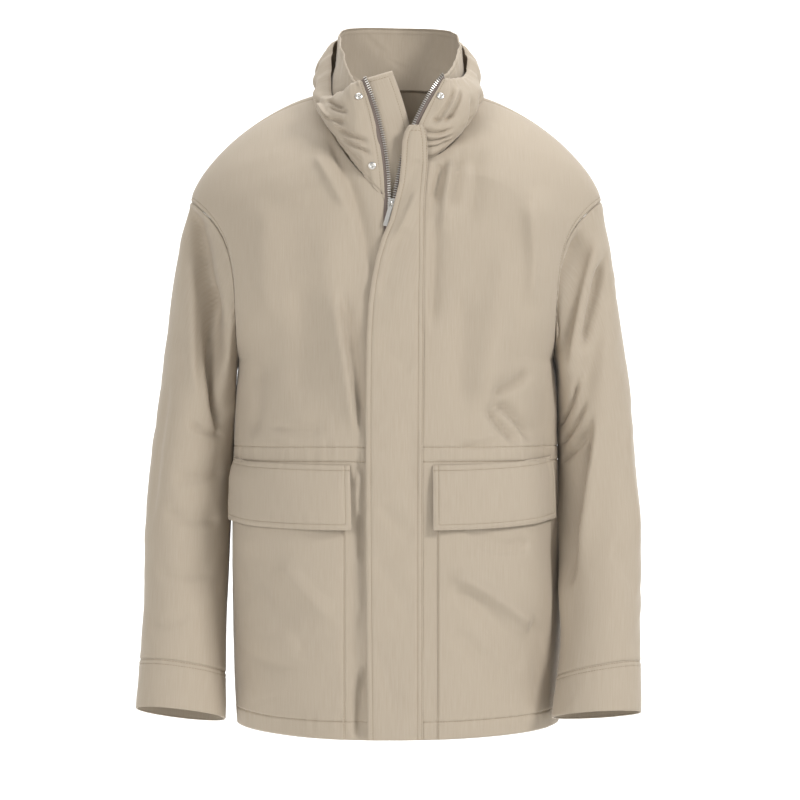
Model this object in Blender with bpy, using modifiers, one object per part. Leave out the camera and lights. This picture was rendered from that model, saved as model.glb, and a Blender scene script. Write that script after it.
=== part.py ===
"""A worn field parka: an open hollow cloth shell with a tall zip collar and a storm flap.

Metres, +Z up. The wearer faces -Y and the wearer's left is +X. The origin is the middle of the
neck hole, level with the top of the shoulder seams, where the wearer's shoulders carry the coat.
"""

import math

import bmesh
import bpy
import numpy as np
from mathutils import Matrix, Vector
from mathutils.bvhtree import BVHTree

SIDES = ("right", "left")
SEAM_GAP = 0.0005
COLLAR_GAP = 0.0009
SEAM_BAND = 0.003
SHARPEST_SHARED = 0.6
CLOTH = 0.0020
DOUBLE_CLOTH = 0.0024
PATCH_CLOTH = 0.0016

HEM_Z = -0.773
HEM_DIP = 0.008
WAIST_Z = -0.443
UNDERARM_Z = -0.325
UNDERARM_X = 0.196
SHOULDER_Z = -0.128
SHOULDER_X = 0.2565
ARMHOLE_FRONT = 0.077
ARMHOLE_BACK = 0.086
ARMHOLE_BOW = 4.5

SKIRT_STEPS = 12
ARMHOLE_STEPS = 12
NECK_STEPS = 6
PANEL_COLUMNS = 12
COLLAR_COLUMNS = 4 * NECK_STEPS
COLLAR_ROWS = 8

CLOTH_COLOUR = (0.53, 0.45, 0.33)
TAPE_COLOUR = (0.34, 0.29, 0.27)
STEEL_COLOUR = (0.75, 0.75, 0.75)


def table(names, rows):
    """Rows of sizes as one array for each named column."""
    return dict(zip(names.split(), np.array(rows, float).T))


# The body from hem to underarm: half widths, and how deep it is before and behind the side seam.
BODY = table(
    "z half_right half_left front back roundness",
    [
        (HEM_Z, 0.1985, 0.2040, 0.150, 0.130, 2.0),
        (-0.700, 0.2020, 0.2050, 0.151, 0.129, 2.1),
        (-0.600, 0.2035, 0.2050, 0.151, 0.126, 2.2),
        (-0.500, 0.2040, 0.2040, 0.149, 0.122, 2.3),
        (WAIST_Z, 0.2020, 0.2020, 0.146, 0.118, 2.3),
        (-0.380, 0.2008, 0.2005, 0.146, 0.119, 2.3),
        (-0.345, 0.1980, 0.1980, 0.146, 0.122, 2.3),
        (UNDERARM_Z, UNDERARM_X, UNDERARM_X, 0.1455, 0.124, 2.3),
    ],
)

# Centre front and centre back above the underarm, by armhole step, up to the neck seam.
CENTRE = table(
    "step right_x right_y right_z left_x left_y left_z back_y back_z",
    [
        (0, -0.0150, -0.1455, -0.325, 0.0000, -0.1455, -0.325, 0.124, -0.325),
        (2, -0.0150, -0.1440, -0.262, 0.0000, -0.1430, -0.250, 0.132, -0.215),
        (4, -0.0148, -0.1370, -0.193, 0.0006, -0.1340, -0.168, 0.124, -0.100),
        (5, -0.0140, -0.1325, -0.160, 0.0045, -0.1275, -0.127, 0.106, -0.038),
        (6, -0.0135, -0.1275, -0.130, 0.0120, -0.1200, -0.0865, 0.078, 0.022),
    ],
)

# How square each row above the underarm turns from the centre to the armhole.
ROUNDNESS = table(
    "step front back",
    [(0, 2.3, 2.3), (3, 2.3, 2.0), (6, 2.0, 1.45), (9, 1.6, 1.4), (12, 1.5, 1.5)],
)

# Round the neck from the right zip edge, over the back, to the left one.
COLLAR = table(
    "at seam_x seam_y seam_z mid_x mid_y mid_z top_x top_y top_z",
    [
        (0.0, -0.0135, -0.1275, -0.130, -0.0210, -0.119, -0.058, -0.0420, -0.101, 0.0130),
        (1.5, -0.0380, -0.1205, -0.103, -0.0500, -0.119, -0.045, -0.0535, -0.094, 0.0100),
        (3.0, -0.0620, -0.0960, -0.073, -0.0810, -0.092, -0.030, -0.0660, -0.078, 0.0020),
        (4.5, -0.0830, -0.055, -0.035, -0.1020, -0.052, -0.008, -0.0780, -0.050, 0.0000),
        (6.0, -0.0920, 0.000, 0.003, -0.1050, -0.004, 0.021, -0.0815, -0.008, 0.0400),
        (8.0, -0.0770, 0.043, 0.012, -0.1000, 0.038, 0.043, -0.0780, 0.038, 0.0790),
        (10.0, -0.0420, 0.071, 0.020, -0.0600, 0.088, 0.054, -0.0520, 0.080, 0.0960),
        (12.0, 0.0000, 0.078, 0.022, 0.0000, 0.107, 0.058, 0.0020, 0.099, 0.1000),
        (14.0, 0.0420, 0.071, 0.020, 0.0620, 0.088, 0.054, 0.0600, 0.080, 0.0940),
        (16.0, 0.0770, 0.043, 0.012, 0.1030, 0.038, 0.042, 0.0850, 0.038, 0.0740),
        (18.0, 0.0920, 0.000, 0.003, 0.1080, -0.004, 0.020, 0.0895, -0.008, 0.0400),
        (19.5, 0.0870, -0.048, -0.030, 0.1090, -0.048, -0.004, 0.0830, -0.045, 0.0250),
        (21.0, 0.0700, -0.085, -0.060, 0.0900, -0.090, -0.024, 0.0740, -0.068, 0.0200),
        (22.5, 0.0450, -0.108, -0.080, 0.0620, -0.111, -0.034, 0.0670, -0.082, 0.0180),
        (24.0, 0.0120, -0.120, -0.0865, 0.0310, -0.115, -0.035, 0.0600, -0.092, 0.0165),
    ],
)

# The second, inner wall of the collar: its own top edge, and how far it bows towards the outer one.
INNER_COLLAR = table(
    "at top_x top_y top_z bow",
    [
        (1.1, -0.0490, -0.0900, 0.0120, 0.000),
        (2.0, -0.0530, -0.0830, 0.0170, 0.000),
        (3.5, -0.0605, -0.0650, 0.0320, -0.002),
        (5.0, -0.0680, -0.0350, 0.0560, -0.006),
        (6.5, -0.0725, 0.0050, 0.0780, -0.005),
        (8.0, -0.0700, 0.0350, 0.0920, 0.002),
        (10.0, -0.0450, 0.0730, 0.1010, 0.006),
        (12.0, 0.0020, 0.0910, 0.1030, 0.007),
        (14.0, 0.0520, 0.0730, 0.0990, 0.006),
        (16.0, 0.0760, 0.0350, 0.0880, 0.003),
        (17.5, 0.0800, 0.0050, 0.0700, 0.001),
        (19.0, 0.0760, -0.0320, 0.0480, 0.000),
        (20.5, 0.0690, -0.0560, 0.0320, 0.000),
        (22.0, 0.0620, -0.0740, 0.0230, 0.000),
        (23.2, 0.0570, -0.0820, 0.0180, 0.000),
    ],
)
INNER_COLLAR_INSET = 0.0029
INNER_COLLAR_FOOT = 0.0070

# The sleeves, ring by ring from the armhole: outer and inner point, middle, depth, bow and tilt.
SLEEVE_SIZES = "out_x out_z in_x in_z mid_y front back bow tilt"
ARMHOLE_RING = (
    SHOULDER_X, SHOULDER_Z, UNDERARM_X, UNDERARM_Z, 0.0, ARMHOLE_FRONT, ARMHOLE_BACK, ARMHOLE_BOW, 0.0,
)
SLEEVES = {
    "right": table(
        "at " + SLEEVE_SIZES,
        [
            (0.00, *ARMHOLE_RING),
            (0.07, 0.2670, -0.168, 0.1990, -0.338, 0.000, 0.074, 0.081, 3.0, 0.00),
            (0.15, 0.2750, -0.215, 0.2010, -0.357, 0.000, 0.070, 0.077, 2.0, 0.00),
            (0.25, 0.2840, -0.277, 0.2020, -0.385, 0.002, 0.066, 0.073, 1.3, 0.00),
            (0.39, 0.2960, -0.365, 0.2030, -0.435, 0.003, 0.062, 0.068, 1.0, 0.00),
            (0.55, 0.3080, -0.465, 0.2055, -0.508, 0.000, 0.059, 0.063, 1.0, 0.05),
            (0.70, 0.3125, -0.560, 0.2080, -0.588, -0.012, 0.056, 0.058, 1.0, 0.15),
            (0.82, 0.3130, -0.636, 0.2100, -0.656, -0.030, 0.053, 0.055, 1.0, 0.20),
            (0.91, 0.3155, -0.695, 0.2095, -0.710, -0.045, 0.051, 0.053, 1.0, 0.22),
            (1.00, 0.3190, -0.754, 0.2090, -0.766, -0.058, 0.051, 0.053, 1.0, 0.24),
        ],
    ),
    "left": table(
        "at " + SLEEVE_SIZES,
        [
            (0.00, *ARMHOLE_RING),
            (0.07, 0.2650, -0.170, 0.1990, -0.338, 0.000, 0.074, 0.081, 3.0, 0.00),
            (0.15, 0.2720, -0.214, 0.2010, -0.357, 0.000, 0.070, 0.077, 2.0, 0.00),
            (0.25, 0.2800, -0.270, 0.2020, -0.385, 0.002, 0.066, 0.073, 1.3, 0.00),
            (0.39, 0.2910, -0.357, 0.2030, -0.435, 0.001, 0.062, 0.068, 1.0, 0.00),
            (0.55, 0.2990, -0.457, 0.2060, -0.508, -0.008, 0.059, 0.063, 1.0, 0.05),
            (0.70, 0.3020, -0.547, 0.2080, -0.588, -0.032, 0.056, 0.057, 1.0, 0.15),
            (0.82, 0.3005, -0.632, 0.2040, -0.654, -0.057, 0.053, 0.053, 1.0, 0.20),
            (0.91, 0.2985, -0.694, 0.1965, -0.711, -0.076, 0.051, 0.050, 1.0, 0.21),
            (1.00, 0.2980, -0.7545, 0.1890, -0.7600, -0.093, 0.051, 0.050, 1.0, 0.21),
        ],
    ),
}
SLEEVE_RINGS = 13
CUFF_SEAM = 0.91
CUFF_RINGS = 3

# The largest folds, as soft ridges (+) and troughs (-) along a bent path in the front or back view.
FOLDS = table(
    "facing x0 z0 x1 z1 x2 z2 width depth",
    [
        (-1, -0.252, -0.145, -0.238, -0.250, -0.212, -0.370, 0.018, -0.013),
        (-1, -0.085, -0.130, -0.080, -0.270, -0.050, -0.420, 0.024, 0.006),
        (-1, -0.046, -0.430, -0.046, -0.600, -0.048, -0.790, 0.014, -0.005),
        (-1, 0.170, -0.110, 0.188, -0.200, 0.160, -0.330, 0.020, 0.008),
        (-1, 0.234, -0.150, 0.220, -0.240, 0.198, -0.340, 0.016, -0.012),
        (-1, 0.258, -0.200, 0.248, -0.280, 0.226, -0.400, 0.014, -0.008),
        (-1, 0.240, -0.385, 0.230, -0.500, 0.212, -0.650, 0.018, 0.006),
        (-1, 0.176, -0.340, 0.176, -0.460, 0.196, -0.640, 0.016, -0.014),
        (-1, -0.190, -0.340, -0.186, -0.430, -0.196, -0.560, 0.012, -0.009),
        (1, -0.150, -0.230, -0.170, -0.330, -0.150, -0.470, 0.022, -0.008),
        (1, 0.150, -0.230, 0.170, -0.330, 0.150, -0.470, 0.022, -0.008),
        (1, -0.240, -0.190, -0.228, -0.280, -0.208, -0.370, 0.018, -0.012),
        (1, 0.240, -0.190, 0.228, -0.280, 0.208, -0.370, 0.018, -0.012),
        (1, 0.050, -0.420, 0.060, -0.560, 0.050, -0.790, 0.024, 0.006),
        (1, -0.060, -0.440, -0.075, -0.600, -0.070, -0.790, 0.026, 0.006),
    ],
)
FOLD_SAMPLES = 14
OUTLINE_SAMPLES = 90
FOLD_TAPER = 0.25
FOLD_FADE_DEPTH = 0.045

# The storm flap, from its rounded top to the hem: its free edge and the edge sewn to the left front.
STORM_FLAP = table(
    "z free_x sewn_x",
    [
        (-0.0440, 0.0160, 0.0345),
        (-0.0520, 0.0105, 0.0365),
        (-0.0650, 0.0075, 0.0385),
        (-0.0900, 0.0062, 0.0390),
        (-0.1120, 0.0040, 0.0370),
        (-0.1280, 0.0005, 0.0355),
        (-0.1600, -0.0078, 0.0345),
        (-0.1800, -0.0165, 0.0345),
        (-0.2050, -0.0240, 0.0345),
        (-0.2310, -0.0290, 0.0340),
        (-0.2620, -0.0330, 0.0335),
        (-0.3000, -0.0350, 0.0335),
        (-0.3800, -0.0362, 0.0330),
        (-0.5000, -0.0360, 0.0325),
        (-0.6500, -0.0350, 0.0325),
        (-0.7800, -0.0335, 0.0325),
    ],
)
STORM_FLAP_COLUMNS = 6
STORM_FLAP_STRAIGHT = -0.300
STORM_FLAP_STEPS = 15
STORM_FLAP_SEWN_OUT = 0.0031
STORM_FLAP_FREE_OUT = 0.0062
STORM_FLAP_REACH = 0.008

# Patch pockets and their flaps: metres along the front from its centre edge, and heights.
POCKET = {"right": (0.0455, 0.232), "left": (0.0495, 0.220)}
POCKET_TOP = -0.462
POCKET_OUT = 0.0022
POCKET_BULGE = 0.0026
FLAP = {"right": (0.0395, 0.231, 0.007), "left": (0.0440, 0.222, 0.010)}
FLAP_TOP = -0.4530
FLAP_BOTTOM = -0.5290
FLAP_ROWS = table("down out", [(0, 0.0030), (0.22, 0.0068), (0.6, 0.0086), (1, 0.0098)])

# The zip, as distances across from the cloth's edge.
TAPE_ACROSS = (0.0006, 0.0046)
TEETH_ACROSS = (0.0049, 0.0072)
TAPE_THICK = 0.0010
ZIP_FLAT_TO = -0.147
ZIP_SPREAD_FROM = -0.128
TEETH_THICK = 0.0020

# The guard behind the zip: distances across from the right front's edge, and how far behind it.
GUARD = table(
    "across behind",
    [(-0.010, 0.0052), (-0.003, 0.0044), (0.007, 0.0050), (0.024, 0.0065), (0.042, 0.0085)],
)

SLIDER_Z = -0.139
SLIDER_TURN = math.radians(6)
SLIDER_WIDTH = 0.0084
SLIDER_LENGTH = 0.0110
SLIDER_PLATE = 0.0010
SLIDER_CLEAR = 0.0005
WEDGE_WIDTH = 0.0018
WEDGE_LENGTH = 0.0030
BRIDGE_HALF = 0.0030
BRIDGE_RISE = 0.0034
BRIDGE_RADIUS = 0.0007
BRIDGE_FOOT = 0.12
PULL_TURN = math.radians(15.6)
PULL_LENGTH = 0.0300
PULL_WIDTH = 0.0050
PULL_THICK = 0.0012
EYE_WIDTH = 0.0032
EYE_LENGTH = 0.0045
EYE_BAR = 0.0011
PULL_CORNER = 0.0008
EYE_CORNER = 0.0004

SNAPS = table("number at up", [(1, 0.80, 0.84), (2, 0.78, 0.19), (3, 23.4, 0.78)])
SNAP_RADIUS = 0.0044
SNAP_THICK = 0.0016
SNAP_CLEAR = 0.0009
SNAP_TAPER = 0.8
SNAP_SIDES = 24

# The edges of each panel that are sewn: grid axis, whether it is the far end, its part of the gap.
SEWN_EDGES = {
    "front": [(1, False, 0), (1, True, SEAM_GAP), (0, True, SEAM_GAP)],
    "back": [(1, False, 0), (1, True, SEAM_GAP / 2), (0, True, 0)],
    "sleeve": [(0, False, SEAM_GAP), (0, True, 0)],
    "cuff": [(0, False, SEAM_GAP)],
    "collar": [(0, False, COLLAR_GAP)],
}


def clear_scene():
    for obj in list(bpy.data.objects):
        bpy.data.objects.remove(obj)


def material(name, colour, metallic, roughness):
    made = bpy.data.materials.new(name)
    made.use_nodes = True
    shader = made.node_tree.nodes["Principled BSDF"]
    shader.inputs["Base Color"].default_value = (*colour, 1.0)
    shader.inputs["Metallic"].default_value = metallic
    shader.inputs["Roughness"].default_value = roughness
    return made


def curve(knots, values, at):
    """A smooth cubic curve through (knots, values), read at the numbers in at."""
    at = np.asarray(at, float)
    slopes = np.gradient(values, knots)
    i = np.clip(np.searchsorted(knots, at, side="right") - 1, 0, len(knots) - 2)
    span = knots[i + 1] - knots[i]
    t = (at - knots[i]) / span
    return (
        (2 * t**3 - 3 * t**2 + 1) * values[i]
        + (t**3 - 2 * t**2 + t) * span * slopes[i]
        + (3 * t**2 - 2 * t**3) * values[i + 1]
        + (t**3 - t**2) * span * slopes[i + 1]
    )


def smooth_step(t):
    t = np.clip(t, 0, 1)
    return t * t * (3 - 2 * t)


def unit(vectors):
    return vectors / np.linalg.norm(vectors, axis=-1, keepdims=True)


def folded(points):
    """The points, moved in or out by each fold that passes near them in its view."""
    moved = points.copy()
    flat = points[..., [0, 2]]
    t = np.linspace(0, 1, FOLD_SAMPLES)
    for facing, x0, z0, x1, z1, x2, z2, width, depth in zip(*FOLDS.values()):
        path = np.outer((1 - t) ** 2, (x0, z0)) + np.outer(2 * t * (1 - t), (x1, z1))
        path += np.outer(t**2, (x2, z2))
        away = np.linalg.norm(flat[..., None, :] - path, axis=-1)
        along = t[away.argmin(axis=-1)]
        fade = smooth_step(np.minimum(along, 1 - along) / FOLD_TAPER)
        fade = fade * smooth_step(facing * points[..., 1] / FOLD_FADE_DEPTH)
        moved[..., 1] += facing * depth * fade * np.exp(-((away.min(axis=-1) / width) ** 2))
    return moved


def quarter(inner, outer, power):
    """A quarter superellipse of even steps: it leaves inner sideways and reaches outer backwards."""
    turn = np.linspace(0, math.pi / 2, OUTLINE_SAMPLES)
    across = np.sin(turn) ** (2 / power)
    back = np.cos(turn) ** (2 / power)
    inner, outer = np.array(inner), np.array(outer)
    path = outer + (inner - outer) * np.stack([1 - across, back, back], axis=1)
    length = np.concatenate([[0], np.cumsum(np.linalg.norm(np.diff(path, axis=0), axis=1))])
    at = np.linspace(0, length[-1], PANEL_COLUMNS + 1)
    return np.stack([np.interp(at, length, path[:, axis]) for axis in range(3)], axis=1)


def armhole(step, depth):
    """A point of the armhole seam: step 0 is the underarm and the last one the shoulder."""
    turn = math.pi * step / ARMHOLE_STEPS
    rise = (1 - math.cos(turn)) / 2
    return np.array(
        [
            UNDERARM_X + (SHOULDER_X - UNDERARM_X) * rise**ARMHOLE_BOW,
            depth * math.sin(turn),
            UNDERARM_Z + (SHOULDER_Z - UNDERARM_Z) * rise,
        ]
    )


def neck_seam(at):
    return np.array([curve(COLLAR["at"], COLLAR["seam_" + axis], at) for axis in "xyz"])


def half_panel(side, facing):
    """A front, or half the back: rows from hem to shoulder seam, each from the centre to the side."""
    sign = 1 if side == "left" else -1
    rows = []
    for z in np.linspace(HEM_Z, UNDERARM_Z, SKIRT_STEPS + 1)[:-1]:
        size = {name: float(curve(BODY["z"], BODY[name], z)) for name in BODY}
        dip = HEM_DIP * smooth_step((WAIST_Z - z) / (WAIST_Z - HEM_Z))
        inner = (0.0, size["back"], z) if facing > 0 else (CENTRE[side + "_x"][0], -size["front"], z - dip)
        rows.append(quarter(inner, (sign * size["half_" + side], 0.0, z), size["roundness"]))
    for step in range(ARMHOLE_STEPS + 1):
        outer = armhole(step, -ARMHOLE_FRONT if facing < 0 else ARMHOLE_BACK) * (sign, 1, 1)
        prefix = side if facing < 0 else "back"
        if step < NECK_STEPS:
            inner = [float(curve(CENTRE["step"], CENTRE[f"{prefix}_{axis}"], step)) for axis in "yz"]
            inner.insert(0, float(curve(CENTRE["step"], CENTRE[side + "_x"], step)) if facing < 0 else 0.0)
        else:
            past = step - NECK_STEPS if facing < 0 else 2 * NECK_STEPS - (step - NECK_STEPS)
            inner = neck_seam(past if side == "right" else COLLAR_COLUMNS - past)
        powers = ROUNDNESS["front" if facing < 0 else "back"]
        rows.append(quarter(inner, outer, float(curve(ROUNDNESS["step"], powers, step))))
    return np.array(rows)


def bent_wall(seam, mid, top):
    """Rows from seam to top edge, on the parabola that passes through the middle one."""
    up = np.linspace(0, 1, COLLAR_ROWS + 1)[:, None, None]
    return seam * (1 - up) * (1 - 2 * up) + mid * 4 * up * (1 - up) + top * up * (2 * up - 1)


def collar_wall():
    at = np.arange(COLLAR_COLUMNS + 1)
    edges = (
        np.stack([curve(COLLAR["at"], COLLAR[f"{part}_{axis}"], at) for axis in "xyz"], axis=1)
        for part in ("seam", "mid", "top")
    )
    return bent_wall(*edges)


def inner_collar_wall(outer, outward):
    """The collar's second wall: it stands up from inside the outer one's foot to its own top edge."""
    ends = INNER_COLLAR["at"][[0, -1]]
    at = np.array([ends[0], *range(math.ceil(ends[0]), math.floor(ends[1]) + 1), ends[1]])
    out = unit(on_panel(outward, 0, at) * (1, 1, 0))
    foot = on_panel(outer, 0, at) - out * INNER_COLLAR_INSET + (0, 0, INNER_COLLAR_FOOT)
    top = np.stack([curve(INNER_COLLAR["at"], INNER_COLLAR["top_" + axis], at) for axis in "xyz"], axis=1)
    bow = curve(INNER_COLLAR["at"], INNER_COLLAR["bow"], at)[:, None] * out
    up = np.linspace(0, 1, COLLAR_ROWS + 1)[:, None, None]
    return foot * (1 - up) + top * up + bow * np.sin(math.pi * up)


def sleeve(side, ats):
    """Rings of a sleeve. Each starts at the underarm and goes round by the front and the top."""
    sign = 1 if side == "left" else -1
    sizes = SLEEVES[side]
    turn = np.linspace(0, 2 * math.pi, 2 * ARMHOLE_STEPS + 1)[:-1]
    rise = (1 - np.cos(turn)) / 2
    rings = []
    for at in ats:
        size = {name: float(curve(sizes["at"], sizes[name], at)) for name in SLEEVE_SIZES.split()}
        x = size["in_x"] + (size["out_x"] - size["in_x"]) * rise ** size["bow"]
        z = size["in_z"] + (size["out_z"] - size["in_z"]) * rise
        y = -np.sin(turn) * np.where(turn < math.pi, size["front"], size["back"])
        rings.append(np.stack([sign * x, size["mid_y"] + y, z - size["tilt"] * y], axis=1))
    return np.array(rings)


def on_panel(grid, rows, columns):
    """Points of a grid at fractional rows and columns."""
    rows, columns = np.broadcast_arrays(np.asarray(rows, float), np.asarray(columns, float))
    r = np.clip(rows.astype(int), 0, grid.shape[0] - 2)
    c = np.clip(columns.astype(int), 0, grid.shape[1] - 2)
    u, v = (rows - r)[..., None], (columns - c)[..., None]
    low = grid[r, c] * (1 - v) + grid[r, c + 1] * v
    high = grid[r + 1, c] * (1 - v) + grid[r + 1, c + 1] * v
    return low * (1 - u) + high * u


def outward_normals(grid, closed=False):
    """Unit normals of a grid, facing away from the body's or the sleeve's middle."""
    down = np.gradient(grid, axis=0)
    ring = np.concatenate([grid[:, -1:], grid, grid[:, :1]], axis=1) if closed else grid
    across = np.gradient(ring, axis=1)[:, 1:-1] if closed else np.gradient(ring, axis=1)
    normal = unit(np.cross(across, down))
    middle = grid.mean(axis=1, keepdims=True) if closed else 0
    return normal if (normal * (grid - middle) * (1, 1, 0)).sum() > 0 else -normal


def shared_normals(grids):
    """Normals of all the grids. At a seam they are averaged, but for panels that face each other."""
    normals = {name: outward_normals(grid, is_tube(name)) for name, grid in grids.items()}
    points = np.concatenate([grid.reshape(-1, 3) for grid in grids.values()])
    stacked = np.concatenate([normal.reshape(-1, 3) for normal in normals.values()])
    _, place = np.unique(np.round(points, 6), axis=0, return_inverse=True)
    place = place.ravel()
    total = np.zeros_like(stacked)
    np.add.at(total, place, stacked)
    shared = unit(total[place])
    sharp = (shared * stacked).sum(axis=1) < SHARPEST_SHARED
    for point in np.flatnonzero(sharp):
        mates = stacked[place == place[point]]
        shared[point] = unit(mates[mates @ stacked[point] > 0].sum(axis=0))
    parts = np.split(shared, np.cumsum([grid[..., 0].size for grid in grids.values()])[:-1])
    return {name: part.reshape(grids[name].shape) for name, part in zip(grids, parts)}


def is_tube(name):
    return name.startswith(("sleeve", "cuff"))


def with_band(grid, normal, axis, last, gap=0.0):
    """The grid with a narrow band along one edge, square to the seam and its normal, and a seam gap."""
    grid, normal = np.moveaxis(grid, axis, 0), np.moveaxis(normal, axis, 0)
    if last:
        grid, normal = grid[::-1], normal[::-1]
    step = grid[1] - grid[0]
    inward = unit(np.cross(normal[0], np.gradient(grid[0], axis=0)))
    inward = inward * np.sign((inward * step).sum(axis=-1, keepdims=True))
    inward[[0, -1]] = unit(step[[0, -1]])
    grid = np.concatenate([[grid[0] + inward * gap], [grid[0] + inward * (gap + SEAM_BAND)], grid[1:]])
    normal = np.concatenate([[normal[0]], normal])
    if last:
        grid, normal = grid[::-1], normal[::-1]
    return np.moveaxis(grid, 0, axis), np.moveaxis(normal, 0, axis)


def grid_mesh(name, grid, outward, closed=False):
    """A quad mesh over a grid, wound so that its faces look along outward."""
    rows, count = grid.shape[:2]
    spans = np.arange(count if closed else count - 1)
    starts = np.arange(rows - 1)[:, None] * count
    first = (starts + spans).ravel()
    second = (starts + (spans + 1) % count).ravel()
    quads = np.stack([first, second, second + count, first + count], axis=1)
    corner = grid.reshape(-1, 3)[quads]
    face_normals = np.cross(corner[:, 1] - corner[:, 0], corner[:, 3] - corner[:, 0])
    if (face_normals * outward.reshape(-1, 3)[first]).sum() < 0:
        quads = quads[:, ::-1]
    mesh = bpy.data.meshes.new(name)
    mesh.from_pydata(grid.reshape(-1, 3).tolist(), [], quads.tolist())
    mesh.shade_smooth()
    return mesh


def add_object(name, mesh, finish):
    obj = bpy.data.objects.new(name, mesh)
    obj.data.materials.append(finish)
    bpy.data.collections["parka"].objects.link(obj)
    return obj


def add_cloth(name, mesh, thick, finish):
    """A cloth wall: the mesh is its outer face, and the thickness goes inwards."""
    obj = add_object(name, mesh, finish)
    wall = obj.modifiers.new("wall", "SOLIDIFY")
    wall.thickness = thick
    wall.offset = -1
    return obj


def seam_grids():
    """Every panel that is sewn to another, with the folds in and the seams still closed."""
    grids = {"collar_outer": collar_wall()}
    for side in SIDES:
        grids["front_" + side] = half_panel(side, -1)
        grids["back_" + side] = half_panel(side, 1)
        grids["sleeve_" + side] = sleeve(side, np.linspace(0, CUFF_SEAM, SLEEVE_RINGS))
        grids["cuff_" + side] = sleeve(side, np.linspace(CUFF_SEAM, 1, CUFF_RINGS))
    return {name: folded(grid) for name, grid in grids.items()}


def with_seams(grids, normals):
    """Every sewn panel with its bands and gaps, as a pair of its points and its normals."""
    panels = {}
    for name, grid in grids.items():
        normal = normals[name]
        for axis, last, gap in SEWN_EDGES[name.split("_")[0]]:
            grid, normal = with_band(grid, normal, axis, last, gap)
        panels[name] = (grid, normal)
    return panels


def add_panels(panels, finish):
    """The fronts, sleeves, cuffs and outer collar, and the back, whose two halves meet on its centre."""
    halves = bmesh.new()
    for name, (grid, normal) in panels.items():
        mesh = grid_mesh(name, grid, normal, is_tube(name))
        if name.startswith("back"):
            halves.from_mesh(mesh)
            bpy.data.meshes.remove(mesh)
        else:
            add_cloth(name, mesh, CLOTH, finish)
    bmesh.ops.remove_doubles(halves, verts=halves.verts, dist=1e-5)
    mesh = bpy.data.meshes.new("back")
    halves.to_mesh(mesh)
    halves.free()
    add_cloth("back", mesh, CLOTH, finish)


def add_inner_collar(grids, normals, finish):
    """The wall inside the outer collar, with the stowed hood's pocket between them, open at the top."""
    grid = inner_collar_wall(grids["collar_outer"], normals["collar_outer"])
    add_cloth("collar_inner", grid_mesh("collar_inner", grid, outward_normals(grid)), CLOTH, finish)


def panel_row(z):
    return (z - HEM_Z) / (UNDERARM_Z - HEM_Z) * SKIRT_STEPS


def panel_columns(grid, z, near, far):
    """The front's own columns between two distances from its centre edge, and those two ends."""
    line = on_panel(grid, panel_row(z), np.arange(PANEL_COLUMNS + 1))
    length = np.concatenate([[0], np.cumsum(np.linalg.norm(np.diff(line, axis=0), axis=1))])
    first, last = np.interp((near, far), length, np.arange(PANEL_COLUMNS + 1))
    return np.array([first, *range(math.floor(first) + 1, math.ceil(last)), last])


def add_pockets(grids, normals, finish):
    """Patch pockets that run into the hem, and the flaps sewn above them, laid on the fronts."""
    for side in SIDES:
        front, outward = grids["front_" + side], normals["front_" + side]
        columns = panel_columns(front, POCKET_TOP, *POCKET[side])
        top = panel_row(POCKET_TOP)
        rows = np.array([0, *range(1, math.ceil(top)), top])[:, None]
        middle = np.sin(math.pi * (columns - columns[0]) / (columns[-1] - columns[0]))
        out = POCKET_OUT + POCKET_BULGE * middle * np.sin(math.pi * rows / top)
        normal = unit(on_panel(outward, rows, columns))
        grid = on_panel(front, rows, columns) + normal * out[..., None]
        name = "pocket_" + side
        add_cloth(name, grid_mesh(name, grid, normal), PATCH_CLOTH, finish)

        near, far, rise = FLAP[side]
        columns = panel_columns(front, FLAP_BOTTOM, near, far)
        across = (columns - columns[0]) / (columns[-1] - columns[0])
        down = FLAP_ROWS["down"][:, None]
        rows = panel_row(FLAP_TOP + (FLAP_BOTTOM - FLAP_TOP) * down + rise * across**2)
        normal = unit(on_panel(outward, rows, columns))
        grid = on_panel(front, rows, columns) + normal * FLAP_ROWS["out"][:, None, None]
        name = "pocket_flap_" + side
        add_cloth(name, grid_mesh(name, grid, normal), DOUBLE_CLOTH, finish)


def add_storm_flap(grids, finish):
    """The flap over the zip: its points lie on the fronts and the collar, moved out."""
    trees = []
    for name in ("front_right", "front_left", "collar_outer"):
        mesh = grid_mesh(name, grids[name], outward_normals(grids[name]))
        quads = [tuple(face.vertices) for face in mesh.polygons]
        trees.append(BVHTree.FromPolygons([vertex.co.copy() for vertex in mesh.vertices], quads))
        bpy.data.meshes.remove(mesh)
    grid = []
    top, bottom = STORM_FLAP_STRAIGHT, STORM_FLAP["z"][-1]
    curved = STORM_FLAP["z"][STORM_FLAP["z"] > top]
    for z in np.concatenate([curved, np.linspace(top, bottom, STORM_FLAP_STEPS)]):
        ends = [np.interp(-z, -STORM_FLAP["z"], STORM_FLAP[name]) for name in ("free_x", "sewn_x")]
        across = np.linspace(*ends, STORM_FLAP_COLUMNS)
        under = []
        for x in across:
            hits = [tree.ray_cast(Vector((x, -1, z)), Vector((0, 1, 0)))[0] for tree in trees]
            under.append(min([hit.y for hit in hits if hit] or [1.0]))
        under = np.array(under)
        under = np.where(under - under[-1] < STORM_FLAP_REACH, under, under.min())
        out = np.linspace(STORM_FLAP_FREE_OUT, STORM_FLAP_SEWN_OUT, STORM_FLAP_COLUMNS)
        grid.append(np.stack([across, under - out, np.full_like(across, z)], axis=1))
    grid = np.array(grid)
    mesh = grid_mesh("storm_flap", grid, np.zeros_like(grid) + (0, -1, 0))
    add_cloth("storm_flap", mesh, DOUBLE_CLOTH, finish)


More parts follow.
